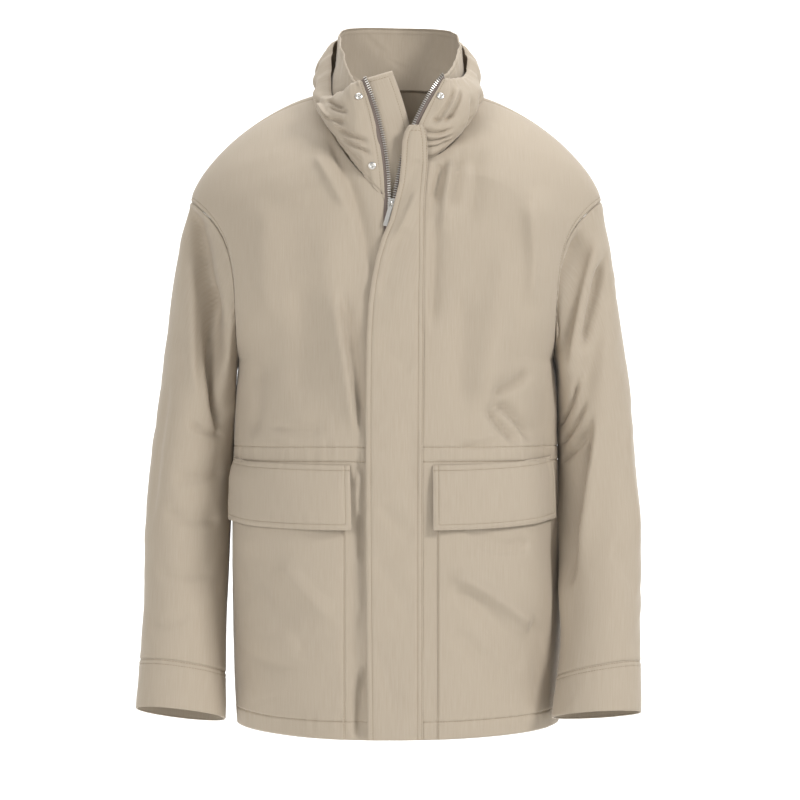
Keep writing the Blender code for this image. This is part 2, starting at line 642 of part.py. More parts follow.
def zip_edge(side, panels):
    """The cloth edge that the zip is sewn to, from hem to collar top: points, out and across."""
    column = 0 if side == "right" else -1
    front, front_out = (part[: SKIRT_STEPS + NECK_STEPS, 0] for part in panels["front_" + side])
    collar, collar_out = (part[:, column] for part in panels["collar_outer"])
    points = np.concatenate([front, collar])
    out = np.concatenate([front_out, collar_out])
    spread = smooth_step((points[:, 2] - ZIP_FLAT_TO) / (ZIP_SPREAD_FROM - ZIP_FLAT_TO))
    out = unit(out * np.stack([spread, np.ones_like(spread), np.ones_like(spread)], axis=1))
    across = unit(np.cross(out, np.gradient(points, axis=0)))
    return points, out, across if side == "left" else -across


def strip(points, out, sideways, across, lift):
    """A grid beside an edge: its columns lie at the distances across, lifted outwards."""
    steps = np.asarray(across)[None, :, None]
    lift = np.broadcast_to(np.asarray(lift, float), (steps.shape[1],))[None, :, None]
    return points[:, None] + sideways[:, None] * steps + out[:, None] * lift


def add_zip(panels, tape_finish, steel):
    for side in SIDES:
        points, out, sideways = zip_edge(side, panels)
        outward = np.broadcast_to(out[:, None], (len(out), 2, 3))
        for name, across, thick, finish in (
            ("zip_tape_" + side, TAPE_ACROSS, TAPE_THICK, tape_finish),
            ("zip_teeth_" + side, TEETH_ACROSS, TEETH_THICK, steel),
        ):
            grid = strip(points, out, sideways, across, -(CLOTH - thick) / 2)
            add_cloth(name, grid_mesh(name, grid, outward), thick, finish)


def add_zip_guard(panels, finish):
    """The guard behind the zip. It lies inside the right front's edge, and goes straight across from it."""
    points, out, sideways = zip_edge("right", panels)
    level = unit(out + zip_edge("left", panels)[1])
    straight = unit(np.cross(np.gradient(points, axis=0), level))
    behind = -GUARD["behind"]
    sewn = GUARD["across"] < 0
    grid = np.concatenate(
        [
            strip(points, out, sideways, GUARD["across"][sewn], behind[sewn]),
            strip(points, level, straight, GUARD["across"][~sewn], behind[~sewn]),
        ],
        axis=1,
    )
    add_cloth("zip_guard", grid_mesh("zip_guard", grid, outward_normals(grid)), CLOTH, finish)


def mesh_of_curve(name, data):
    """A closed mesh from a curve: its caps are welded on, and the curve is removed."""
    guide = bpy.data.objects.new(name, data)
    bpy.context.scene.collection.objects.link(guide)
    evaluated = guide.evaluated_get(bpy.context.evaluated_depsgraph_get())
    mesh = bpy.data.meshes.new_from_object(evaluated)
    bpy.data.objects.remove(guide)
    body = bmesh.new()
    body.from_mesh(mesh)
    bmesh.ops.remove_doubles(body, verts=body.verts, dist=1e-6)
    body.to_mesh(mesh)
    body.free()
    return mesh


def box_mesh(name, size, centre):
    body = bmesh.new()
    bmesh.ops.create_cube(body, size=1, matrix=Matrix.Translation(centre) @ Matrix.Diagonal((*size, 1)))
    mesh = bpy.data.meshes.new(name)
    body.to_mesh(mesh)
    body.free()
    return mesh


def add_union(obj, mesh):
    """Joins a mesh to the object, in the object's own frame."""
    tool = bpy.data.objects.new(mesh.name, mesh)
    tool.hide_render = True
    tool.display_type = "WIRE"
    bpy.data.collections["cutters"].objects.link(tool)
    tool.parent = obj
    step = obj.modifiers.new(mesh.name, "BOOLEAN")
    step.operation = "UNION"
    step.object = tool
    step.solver = "EXACT"


def bridge_mesh():
    """The slider's arch: a round wire on half an ellipse, from plate top to plate top."""
    data = bpy.data.curves.new("bridge", "CURVE")
    data.dimensions = "3D"
    data.bevel_depth = BRIDGE_RADIUS
    data.bevel_resolution = 2
    data.use_fill_caps = True
    turn = np.linspace(-BRIDGE_FOOT, math.pi + BRIDGE_FOOT, 13)
    face = -SLIDER_CLEAR - SLIDER_PLATE
    spline = data.splines.new("POLY")
    spline.points.add(len(turn) - 1)
    for point, angle in zip(spline.points, turn):
        point.co = (0, face - BRIDGE_RISE * math.sin(angle), BRIDGE_HALF * math.cos(angle), 1)
    return mesh_of_curve("bridge", data)


def slider_frame(panels):
    """Where the slider sits between the two halves of the zip, and how the surface leans there."""
    places, outs = [], []
    for side in SIDES:
        points, out, _ = zip_edge(side, panels)
        places.append([np.interp(SLIDER_Z, points[:, 2], points[:, axis]) for axis in range(3)])
        outs.append([np.interp(SLIDER_Z, points[:, 2], out[:, axis]) for axis in range(3)])
    place = Vector(np.mean(places, axis=0))
    out = Vector(np.mean(outs, axis=0))
    lean = -math.atan2(out.z, -out.y)
    return Matrix.Translation(place) @ Matrix.Rotation(lean, 4, "X")


def add_slider(frame, steel):
    """Two plates round the teeth, the wedge that joins them, and the arch that holds the pull."""
    plate = (SLIDER_WIDTH, SLIDER_PLATE, SLIDER_LENGTH)
    front = -SLIDER_CLEAR - SLIDER_PLATE / 2
    behind = TEETH_THICK + SLIDER_CLEAR + SLIDER_PLATE / 2
    obj = add_object("zip_slider", box_mesh("zip_slider", plate, (0, front, 0)), steel)
    obj.matrix_world = frame @ Matrix.Rotation(SLIDER_TURN, 4, "Y")
    add_union(obj, box_mesh("slider_back", plate, (0, behind, 0)))
    wedge = (WEDGE_WIDTH, behind - front, WEDGE_LENGTH)
    wedge_at = (0, (front + behind) / 2, (SLIDER_LENGTH - WEDGE_LENGTH) / 2)
    add_union(obj, box_mesh("slider_wedge", wedge, wedge_at))
    add_union(obj, bridge_mesh())


def rounded_outline(data, width, bottom, top, radius, steps):
    """A closed outline with round corners, added to a flat curve."""
    side = width / 2
    corners = [(side, top), (-side, top), (-side, bottom), (side, bottom)]
    points = []
    for quadrant, (x, y) in enumerate(corners):
        centre = (x - math.copysign(radius, x), y - (radius if y == top else -radius))
        for turn in np.linspace(quadrant, quadrant + 1, steps) * math.pi / 2:
            points.append((centre[0] + radius * math.cos(turn), centre[1] + radius * math.sin(turn)))
    spline = data.splines.new("POLY")
    spline.points.add(len(points) - 1)
    spline.use_cyclic_u = True
    for point, (x, y) in zip(spline.points, points):
        point.co = (x, y, 0, 1)


def add_pull(frame, steel):
    """The pull tab. Its top bar turns in the arch, and its origin is on the bar's axis."""
    data = bpy.data.curves.new("zip_pull", "CURVE")
    data.dimensions = "2D"
    data.fill_mode = "BOTH"
    data.extrude = PULL_THICK / 2
    top = EYE_BAR / 2
    rounded_outline(data, PULL_WIDTH, top - PULL_LENGTH, top, PULL_CORNER, 4)
    rounded_outline(data, EYE_WIDTH, -top - EYE_LENGTH, -top, EYE_CORNER, 3)
    obj = add_object("zip_pull", mesh_of_curve("zip_pull", data), steel)
    hold = -SLIDER_CLEAR - SLIDER_PLATE - (BRIDGE_RISE - BRIDGE_RADIUS) / 2
    axis = frame @ Matrix.Rotation(PULL_TURN, 4, "Y") @ Matrix.Translation((0, hold, 0))
    obj.matrix_world = axis
    obj.data.transform(Matrix.Rotation(math.pi / 2, 4, "X"))


def add_snaps(grids, normals, steel):
    """Snap sockets on the collar's front edges: low round discs."""
    for number, at, up in zip(*SNAPS.values()):
        place = on_panel(grids["collar_outer"], up * COLLAR_ROWS, at)
        out = Vector(on_panel(normals["collar_outer"], up * COLLAR_ROWS, at)).normalized()
        body = bmesh.new()
        bmesh.ops.create_cone(
            body,
            cap_ends=True,
            segments=SNAP_SIDES,
            radius1=SNAP_RADIUS,
            radius2=SNAP_RADIUS * SNAP_TAPER,
            depth=SNAP_THICK,
        )
        mesh = bpy.data.meshes.new("snap")
        body.to_mesh(mesh)
        body.free()
        obj = add_object(f"snap_{int(number)}", mesh, steel)
        centre = Vector(place) + out * (SNAP_CLEAR + SNAP_THICK / 2)
        obj.matrix_world = Matrix.Translation(centre) @ out.to_track_quat("Z", "Y").to_matrix().to_4x4()


def main():
    clear_scene()
    for name in ("parka", "cutters"):
        bpy.context.scene.collection.children.link(bpy.data.collections.new(name))
    cotton = material("khaki_cotton", CLOTH_COLOUR, 0.0, 0.8)
    tape = material("zip_tape", TAPE_COLOUR, 0.0, 0.9)
    steel = material("nickel_steel", STEEL_COLOUR, 1.0, 0.35)
    grids = seam_grids()
    normals = shared_normals(grids)
    panels = with_seams(grids, normals)
    add_panels(panels, cotton)
    add_inner_collar(grids, normals, cotton)
    add_pockets(grids, normals, cotton)
    add_storm_flap(grids, cotton)
    add_zip(panels, tape, steel)
    add_zip_guard(panels, cotton)
    frame = slider_frame(panels)
    add_slider(frame, steel)
    add_pull(frame, steel)
    add_snaps(grids, normals, steel)


main()
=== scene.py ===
"""The look of a worn field parka in khaki cotton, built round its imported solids.

Metres, +Z up. The wearer faces -Y and the wearer's left is +X. Every piece of cloth is worked out
from the garment's own sizes on a fine grid, with its creases, seams and stitches.
"""

import math

import bmesh
import bpy
import numpy as np
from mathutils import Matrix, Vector


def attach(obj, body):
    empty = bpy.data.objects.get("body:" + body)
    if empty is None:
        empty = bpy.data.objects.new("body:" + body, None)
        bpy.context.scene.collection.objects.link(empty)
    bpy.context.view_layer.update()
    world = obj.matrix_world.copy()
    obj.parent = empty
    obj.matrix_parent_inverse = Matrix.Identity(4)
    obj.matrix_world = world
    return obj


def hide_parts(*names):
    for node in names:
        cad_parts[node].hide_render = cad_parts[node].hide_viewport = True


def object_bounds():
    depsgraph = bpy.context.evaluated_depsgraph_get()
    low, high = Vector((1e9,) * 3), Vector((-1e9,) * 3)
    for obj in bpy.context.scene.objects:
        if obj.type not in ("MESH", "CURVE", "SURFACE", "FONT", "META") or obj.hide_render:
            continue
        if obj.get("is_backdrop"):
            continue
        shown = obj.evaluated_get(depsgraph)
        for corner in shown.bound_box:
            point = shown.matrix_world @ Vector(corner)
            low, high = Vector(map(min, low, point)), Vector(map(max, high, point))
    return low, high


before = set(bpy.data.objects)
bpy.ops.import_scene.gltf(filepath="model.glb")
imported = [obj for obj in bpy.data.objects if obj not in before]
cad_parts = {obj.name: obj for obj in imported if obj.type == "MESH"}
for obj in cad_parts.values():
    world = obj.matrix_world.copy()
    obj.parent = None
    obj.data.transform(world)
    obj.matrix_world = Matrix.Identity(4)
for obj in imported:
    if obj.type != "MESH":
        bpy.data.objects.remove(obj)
cad_low, cad_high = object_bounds()


# ---------------------------------------------------------------------------------------------
# The studio. A pale floor runs up into a pale wall, far enough away that nothing is cast on it.
# One broad lamp stands in front on the wearer's left, a weaker one on the right, and the room
# itself is bright, so the shadows in the folds stay soft.

FLOOR_Z = -1.45
WALL_Y = 5.0
COVE_RADIUS = 1.6
STUDIO_HALF_WIDTH = 9.0
STUDIO_COLOUR = "#FBFBFA"


def linear(colour):
    """An sRGB hex colour as linear red, green, blue and alpha."""
    parts = np.array([int(colour[i : i + 2], 16) for i in (1, 3, 5)]) / 255
    values = np.where(parts <= 0.04045, parts / 12.92, ((parts + 0.055) / 1.055) ** 2.4)
    return (*values.tolist(), 1.0)


def add(tree, kind, inputs=None, **settings):
    """Adds one shader node. inputs gives each socket a value, or another node's output to link."""
    made = tree.nodes.new("ShaderNode" + kind)
    for name, value in settings.items():
        setattr(made, name, value)
    for socket, value in (inputs or {}).items():
        if isinstance(value, bpy.types.NodeSocket):
            tree.links.new(value, made.inputs[socket])
        else:
            made.inputs[socket].default_value = value
    return made


def new_finish(name, colour, **sockets):
    """A Principled material, with its own sockets set: its tree and shader are returned with it."""
    made = bpy.data.materials.new(name)
    made.use_nodes = True
    shader = made.node_tree.nodes["Principled BSDF"]
    shader.inputs["Base Color"].default_value = linear(colour)
    for socket, value in sockets.items():
        shader.inputs[socket.replace("_", " ")].default_value = value
    return made, made.node_tree, shader


def grid_mesh(name, grid, outward, uv=None, closed=False):
    """A quad mesh over a grid of points, wound so that its faces look along outward."""
    rows, count = grid.shape[:2]
    place = np.arange(rows * count).reshape(rows, count)
    if closed:
        place = np.concatenate([place, place[:, :1]], axis=1)
    wide = place.shape[1]
    first = (np.arange(rows - 1)[:, None] * wide + np.arange(wide - 1)).ravel()
    corners = np.stack([first, first + 1, first + wide + 1, first + wide], axis=1)
    quads = place.ravel()[corners]
    points = grid.reshape(-1, 3)
    across = points[quads[:, 2]] - points[quads[:, 0]]
    down = points[quads[:, 3]] - points[quads[:, 1]]
    facing = (np.cross(across, down) * outward.reshape(-1, 3)[quads[:, 0]]).sum()
    if facing < 0:
        quads, corners = quads[:, ::-1], corners[:, ::-1]
    mesh = bpy.data.meshes.new(name)
    mesh.from_pydata(points.tolist(), [], quads.tolist())
    if uv is not None:
        layer = mesh.uv_layers.new(name="cloth")
        layer.data.foreach_set("uv", uv.reshape(-1, 2)[corners.ravel()].ravel())
    mesh.shade_smooth()
    return mesh


def add_object(name, mesh, finish):
    """A mesh as an object at the origin, with one material."""
    made = bpy.data.objects.new(name, mesh)
    made.data.materials.append(finish)
    bpy.context.scene.collection.objects.link(made)
    return made


turn = np.linspace(0, math.pi / 2, 24)
profile = np.concatenate(
    [
        [[-8.0, FLOOR_Z]],
        np.stack(
            [
                WALL_Y - COVE_RADIUS + COVE_RADIUS * np.sin(turn),
                FLOOR_Z + COVE_RADIUS - COVE_RADIUS * np.cos(turn),
            ],
            axis=1,
        ),
        [[WALL_Y, 9.0]],
    ]
)
across = np.array([-STUDIO_HALF_WIDTH, STUDIO_HALF_WIDTH])
studio = np.stack(
    [
        np.broadcast_to(across, (len(profile), 2)),
        np.broadcast_to(profile[:, :1], (len(profile), 2)),
        np.broadcast_to(profile[:, 1:], (len(profile), 2)),
    ],
    axis=2,
)
paper, _, _ = new_finish("studio_paper", STUDIO_COLOUR, Roughness=0.9)
inward = np.broadcast_to([0.0, -0.3, 1.0], studio.shape)
backdrop = add_object("studio", grid_mesh("studio", studio, inward), paper)
backdrop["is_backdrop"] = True

room = bpy.data.worlds.new("room")
bpy.context.scene.world = room
room.use_nodes = True
room.node_tree.nodes["Background"].inputs["Color"].default_value = linear("#FDFEFF")
room.node_tree.nodes["Background"].inputs["Strength"].default_value = 0.36

LAMPS = (
    # name, place, aimed at, width, height, watts
    ("key", (2.9, -2.1, 1.8), (0.0, 0.0, -0.35), 1.0, 1.2, 113.0),
    ("fill", (-2.0, -3.0, 0.6), (0.0, 0.0, -0.4), 1.4, 1.8, 54.0),
    ("wall", (0.0, 1.2, 3.4), (0.0, 4.6, -0.6), 4.0, 1.5, 260.0),
)
for name, place, target, width, height, watts in LAMPS:
    lamp = bpy.data.lights.new(name, "AREA")
    lamp.shape = "RECTANGLE"
    lamp.size, lamp.size_y, lamp.energy = width, height, watts
    stand = bpy.data.objects.new(name, lamp)
    stand.location = place
    stand.rotation_euler = (Vector(target) - Vector(place)).to_track_quat("-Z", "Y").to_euler()
    bpy.context.scene.collection.objects.link(stand)
    stand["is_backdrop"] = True

eye = bpy.data.cameras.new("eye")
eye.sensor_width = 36
eye.lens = 115.2
camera = bpy.data.objects.new("eye", eye)
camera.location = (0.005, -3.2, -0.375)
camera.rotation_euler = (math.pi / 2, 0, 0)
bpy.context.scene.collection.objects.link(camera)
bpy.context.scene.camera = camera
bpy.context.scene.view_settings.view_transform = "Standard"


# ---------------------------------------------------------------------------------------------
# The cotton. Dense khaki cotton, woven from two shades of yarn and pressed smooth: a matt cloth
# with a faint sheen, soft streaks along the warp where the yarn thickens, and slow changes of
# shade. Its weave is 0.35 mm in the real cloth, and is drawn at 0.9 mm so that it shows close up.

WEAVE = 0.0009
STREAK_WIDE = 0.0016
STREAK_LONG = 0.030
MOTTLE = 0.09


def new_cotton(name, colour, light, dark):
    """Colour: light and dark mixed by the streaks, then by up to half with the plain colour, by the
    mottle. Height: the product of two crossed sine waves, one a yarn, and the streaks over them."""
    made, tree, shader = new_finish(
        name, colour, Roughness=0.72, Sheen_Weight=0.30, Sheen_Roughness=0.40, IOR=1.46
    )
    shader.inputs["Sheen Tint"].default_value = linear("#F2EEE8")
    shader.inputs["Specular IOR Level"].default_value = 0.35
    place = add(tree, "UVMap", uv_map="cloth").outputs["UV"]
    warp = add(tree, "Mapping", {"Vector": place, "Scale": (1 / STREAK_WIDE, 1 / STREAK_LONG, 1)})
    streak = add(tree, "TexNoise", {"Vector": warp.outputs[0], "Scale": 1.0, "Detail": 3.0})
    slow = add(tree, "Mapping", {"Vector": place, "Scale": (1 / MOTTLE, 0.6 / MOTTLE, 1)})
    mottle = add(tree, "TexNoise", {"Vector": slow.outputs[0], "Scale": 1.0, "Detail": 4.0})
    shades = add(tree, "MixRGB", {0: streak.outputs[0], 1: linear(dark), 2: linear(light)})
    tone = add(tree, "MapRange", {0: mottle.outputs[0], 1: 0.3, 2: 0.7, 3: 0.0, 4: 0.5})
    body = add(tree, "MixRGB", {0: tone.outputs[0], 1: shades.outputs[0], 2: linear(colour)})
    tree.links.new(body.outputs[0], shader.inputs["Base Color"])
    yarns = []
    for turned in (0.0, math.pi / 2):
        laid = add(tree, "Mapping", {"Vector": place, "Rotation": (0, 0, turned)})
        yarn = add(
            tree,
            "TexWave",
            {"Vector": laid.outputs[0], "Scale": math.pi / (10 * WEAVE), "Distortion": 0.6},
        )
        yarns.append(yarn.outputs[1])
    weave = add(tree, "Math", {0: yarns[0], 1: yarns[1]}, operation="MULTIPLY")
    fine = add(tree, "Bump", {"Strength": 0.16, "Distance": 0.0003, "Height": weave.outputs[0]})
    rough = add(
        tree,
        "Bump",
        {
            "Strength": 0.22,
            "Distance": 0.0006,
            "Height": streak.outputs[0],
            "Normal": fine.outputs[0],
        },
    )
    tree.links.new(rough.outputs[0], shader.inputs["Normal"])
    return made


cotton = new_cotton("khaki_cotton_poplin", "#AC9F8D", "#B3A797", "#A49683")

# Sewing thread, a shade darker than the cloth: spun polyester with a soft shine.
thread, _, _ = new_finish("khaki_sewing_thread", "#857459", Roughness=0.55, Sheen_Weight=0.2)


# ---------------------------------------------------------------------------------------------
# The fronts. Each is cut in one piece from the hem to the shoulder seam, and sewn to the back at
# the side and shoulder, to the sleeve at the dropped armhole and to the collar at the neck. The
# armhole and hem are topstitched, and two lines of stitching make the casing at the waist.


def table(names, rows):
    """Rows of sizes as one array for each named column."""
    return dict(zip(names.split(), np.array(rows, float).T))


HEM_Z, HEM_DIP = -0.773, 0.008
WAIST_Z = -0.443
UNDERARM_X, UNDERARM_Z = 0.196, -0.325
SHOULDER_X, SHOULDER_Z = 0.2565, -0.128
ARMHOLE_FRONT, ARMHOLE_BACK, ARMHOLE_BOW = 0.077, 0.086, 4.5

BODY = table(
    "z half_right half_left front back roundness",
    [
        (HEM_Z, 0.1985, 0.2040, 0.150, 0.130, 2.0),
        (-0.700, 0.2020, 0.2050, 0.151, 0.129, 2.1),
        (-0.600, 0.2035, 0.2050, 0.151, 0.126, 2.2),
        (-0.500, 0.2040, 0.2040, 0.149, 0.122, 2.3),
        (WAIST_Z, 0.2020, 0.2020, 0.146, 0.118, 2.3),
        (-0.380, 0.2008, 0.2005, 0.146, 0.119, 2.3),
        (-0.345, 0.1980, 0.1980, 0.146, 0.122, 2.3),
        (UNDERARM_Z, UNDERARM_X, UNDERARM_X, 0.1455, 0.124, 2.3),
    ],
)
CENTRE = table(
    "step right_x right_y right_z left_x left_y left_z back_y back_z",
    [
        (0, -0.0150, -0.1455, -0.325, 0.0000, -0.1455, -0.325, 0.124, -0.325),
        (2, -0.0150, -0.1440, -0.262, 0.0000, -0.1430, -0.250, 0.132, -0.215),
        (4, -0.0148, -0.1370, -0.193, 0.0006, -0.1340, -0.168, 0.124, -0.100),
        (5, -0.0140, -0.1325, -0.160, 0.0045, -0.1275, -0.127, 0.106, -0.038),
        (6, -0.0135, -0.1275, -0.130, 0.0120, -0.1200, -0.0865, 0.078, 0.022),
    ],
)
ROUNDNESS = table(
    "step front back",
    [(0, 2.3, 2.3), (3, 2.3, 2.0), (6, 2.0, 1.45), (9, 1.6, 1.4), (12, 1.5, 1.5)],
)
# The neck seam, from the right zip edge round the back to the left one.
NECK = table(
    "at x y z",
    [
        (0.0, -0.0135, -0.1275, -0.130),
        (1.5, -0.0380, -0.1205, -0.103),
        (3.0, -0.0620, -0.0960, -0.073),
        (4.5, -0.0830, -0.055, -0.035),
        (6.0, -0.0920, 0.000, 0.003),
        (8.0, -0.0770, 0.043, 0.012),
        (10.0, -0.0420, 0.071, 0.020),
        (12.0, 0.0000, 0.078, 0.022),
        (14.0, 0.0420, 0.071, 0.020),
        (16.0, 0.0770, 0.043, 0.012),
        (18.0, 0.0920, 0.000, 0.003),
        (19.5, 0.0870, -0.048, -0.030),
        (21.0, 0.0700, -0.085, -0.060),
        (22.5, 0.0450, -0.108, -0.080),
        (24.0, 0.0120, -0.120, -0.0865),
    ],
)
# The garment's largest folds: ridges (+) and troughs (-) on a bent path, seen from front or back.
FOLDS = table(
    "facing x0 z0 x1 z1 x2 z2 width depth",
    [
        (-1, -0.252, -0.145, -0.238, -0.250, -0.212, -0.370, 0.018, -0.013),
        (-1, -0.085, -0.130, -0.080, -0.270, -0.050, -0.420, 0.024, 0.007),
        (-1, -0.046, -0.430, -0.046, -0.600, -0.048, -0.790, 0.014, -0.005),
        (-1, 0.170, -0.110, 0.188, -0.200, 0.160, -0.330, 0.020, 0.010),
        (-1, 0.234, -0.150, 0.220, -0.240, 0.198, -0.340, 0.016, -0.016),
        (-1, 0.258, -0.200, 0.248, -0.280, 0.226, -0.400, 0.014, -0.011),
        (-1, 0.240, -0.385, 0.230, -0.500, 0.212, -0.650, 0.018, 0.006),
        (-1, 0.178, -0.330, 0.180, -0.460, 0.198, -0.640, 0.016, -0.019),
        (-1, -0.190, -0.340, -0.186, -0.430, -0.196, -0.560, 0.012, -0.009),
        (1, -0.150, -0.230, -0.170, -0.330, -0.150, -0.470, 0.022, -0.008),
        (1, 0.150, -0.230, 0.170, -0.330, 0.150, -0.470, 0.022, -0.008),
        (1, -0.240, -0.190, -0.228, -0.280, -0.208, -0.370, 0.018, -0.012),
        (1, 0.240, -0.190, 0.228, -0.280, 0.208, -0.370, 0.018, -0.012),
        (1, 0.050, -0.420, 0.060, -0.560, 0.050, -0.790, 0.024, 0.006),
        (1, -0.060, -0.440, -0.075, -0.600, -0.070, -0.790, 0.026, 0.006),
    ],
)
# Smaller creases in each front, seen from the front, with their widths to either side.
FRONT_CREASES = {
    "right": table(
        "x0 z0 x1 z1 x2 z2 wide_left wide_right depth",
        [
            (-0.085, -0.050, -0.050, -0.110, -0.027, -0.235, 0.006, 0.012, -0.0082),
            (-0.100, -0.075, -0.080, -0.110, -0.055, -0.150, 0.006, 0.009, 0.0059),
            (-0.076, -0.240, -0.057, -0.336, -0.046, -0.425, 0.011, 0.004, 0.0078),
            (-0.066, -0.230, -0.049, -0.335, -0.040, -0.425, 0.005, 0.012, -0.0097),
            (-0.176, -0.325, -0.166, -0.365, -0.177, -0.425, 0.010, 0.016, -0.0082),
            (-0.150, -0.130, -0.165, -0.200, -0.150, -0.300, 0.020, 0.030, 0.0059),
            (-0.120, -0.230, -0.105, -0.300, -0.120, -0.380, 0.018, 0.028, -0.0047),
            (-0.041, -0.435, -0.042, -0.540, -0.040, -0.655, 0.003, 0.006, -0.0090),
            (-0.045, -0.455, -0.041, -0.482, -0.044, -0.520, 0.003, 0.004, 0.0078),
            (-0.043, -0.555, -0.040, -0.590, -0.043, -0.640, 0.003, 0.004, 0.0074),
            (-0.034, -0.685, -0.049, -0.735, -0.045, -0.785, 0.004, 0.008, -0.0104),
            (-0.160, -0.405, -0.120, -0.418, -0.080, -0.410, 0.004, 0.007, -0.0043),
        ],
    ),
    "left": table(
        "x0 z0 x1 z1 x2 z2 wide_left wide_right depth",
        [
            (0.057, -0.080, 0.054, -0.100, 0.042, -0.145, 0.004, 0.008, -0.0097),
            (0.067, -0.080, 0.061, -0.115, 0.055, -0.180, 0.006, 0.010, 0.0087),
            (0.080, -0.066, 0.073, -0.100, 0.064, -0.155, 0.006, 0.012, -0.0094),
            (0.095, -0.060, 0.100, -0.110, 0.085, -0.170, 0.010, 0.016, -0.0070),
            (0.047, -0.150, 0.046, -0.220, 0.041, -0.300, 0.005, 0.010, -0.0078),
            (0.135, -0.170, 0.118, -0.290, 0.100, -0.395, 0.026, 0.030, 0.0126),
            (0.085, -0.240, 0.075, -0.320, 0.080, -0.400, 0.016, 0.020, -0.0066),
            (0.108, -0.377, 0.148, -0.386, 0.167, -0.430, 0.004, 0.009, -0.0117),
            (0.108, -0.379, 0.120, -0.410, 0.155, -0.430, 0.004, 0.008, -0.0101),
            (0.112, -0.372, 0.138, -0.358, 0.168, -0.340, 0.005, 0.009, -0.0107),
            (0.160, -0.130, 0.172, -0.200, 0.160, -0.270, 0.014, 0.006, 0.0078),
            (0.130, -0.420, 0.100, -0.434, 0.070, -0.428, 0.003, 0.006, -0.0039),
        ],
    ),
}


def curve(knots, values, at):
    """A cubic curve through (knots, values), with the mean slope at each knot, read at at."""
    at = np.asarray(at, float)
    slopes = np.gradient(values, knots)
    i = np.clip(np.searchsorted(knots, at, side="right") - 1, 0, len(knots) - 2)
    span = knots[i + 1] - knots[i]
    t = (at - knots[i]) / span
    return (
        (2 * t**3 - 3 * t**2 + 1) * values[i]
        + (t**3 - 2 * t**2 + t) * span * slopes[i]
        + (3 * t**2 - 2 * t**3) * values[i + 1]
        + (t**3 - t**2) * span * slopes[i + 1]
    )


def smooth_step(t):
    """3 t^2 - 2 t^3, with t held between 0 and 1."""
    t = np.clip(t, 0, 1)
    return t * t * (3 - 2 * t)


def unit(vectors):
    """Each vector divided by its length."""
    return vectors / np.maximum(np.linalg.norm(vectors, axis=-1, keepdims=True), 1e-12)


def half_panel(side, facing, rows, share, metres):
    """A front, or half the back, as rows of points from its centre line to its side.

    Rows 0 to 12 climb from hem to underarm, and 12 to 24 follow the armhole to the shoulder seam.
    Each row is a quarter superellipse, and a point lies on it at a share of its length plus metres.
    """
    sign = 1 if side == "left" else -1
    rows = np.asarray(rows, float)
    z = HEM_Z + (UNDERARM_Z - HEM_Z) * np.minimum(rows, 12) / 12
    step = np.maximum(rows - 12, 0)
    size = {name: curve(BODY["z"], BODY[name], z) for name in BODY}
    dip = HEM_DIP * smooth_step((WAIST_Z - z) / (WAIST_Z - HEM_Z))
    zero = np.zeros_like(z)
    if facing < 0:
        low = [CENTRE[side + "_x"][0] + zero, -size["front"], z - dip]
        mid = [curve(CENTRE["step"], CENTRE[f"{side}_{axis}"], step) for axis in "xyz"]
        past, depth, powers = step - 6, -ARMHOLE_FRONT, ROUNDNESS["front"]
    else:
        low = [zero, size["back"], z]
        mid = [zero, *(curve(CENTRE["step"], CENTRE["back_" + axis], step) for axis in "yz")]
        past, depth, powers = 18 - step, ARMHOLE_BACK, ROUNDNESS["back"]
    around = np.clip(past if side == "right" else 24 - past, 0, 24)
    neck = [curve(NECK["at"], NECK[axis], around) for axis in "xyz"]
    inner = np.where(rows < 12, low, np.where(step < 6, mid, neck)).T
    rise = (1 - np.cos(math.pi * step / 12)) / 2
    armhole = [
        UNDERARM_X + (SHOULDER_X - UNDERARM_X) * rise**ARMHOLE_BOW,
        depth * np.sin(math.pi * step / 12),
        UNDERARM_Z + (SHOULDER_Z - UNDERARM_Z) * rise,
    ]
    outer = np.where(rows < 12, [size["half_" + side], zero, z], armhole).T * (sign, 1, 1)
    power = np.where(rows < 12, size["roundness"], curve(ROUNDNESS["step"], powers, step))
    bend = np.linspace(0, math.pi / 2, 400)
    along = np.sin(bend) ** (2 / power[:, None])
    back = np.abs(np.cos(bend)) ** (2 / power[:, None])
    path = outer[:, None] + (inner - outer)[:, None] * np.stack([1 - along, back, back], axis=2)
    length = np.cumsum(np.linalg.norm(np.diff(path, axis=1), axis=2), axis=1)
    length = np.concatenate([zero[:, None], length], axis=1)
    at = share * length[:, -1:] + metres
    grid = [
        [np.interp(places, lengths, points[:, axis]) for axis in range(3)]
        for places, lengths, points in zip(at, length, path)
    ]
    return np.array(grid).transpose(0, 2, 1), at, length[:, -1]


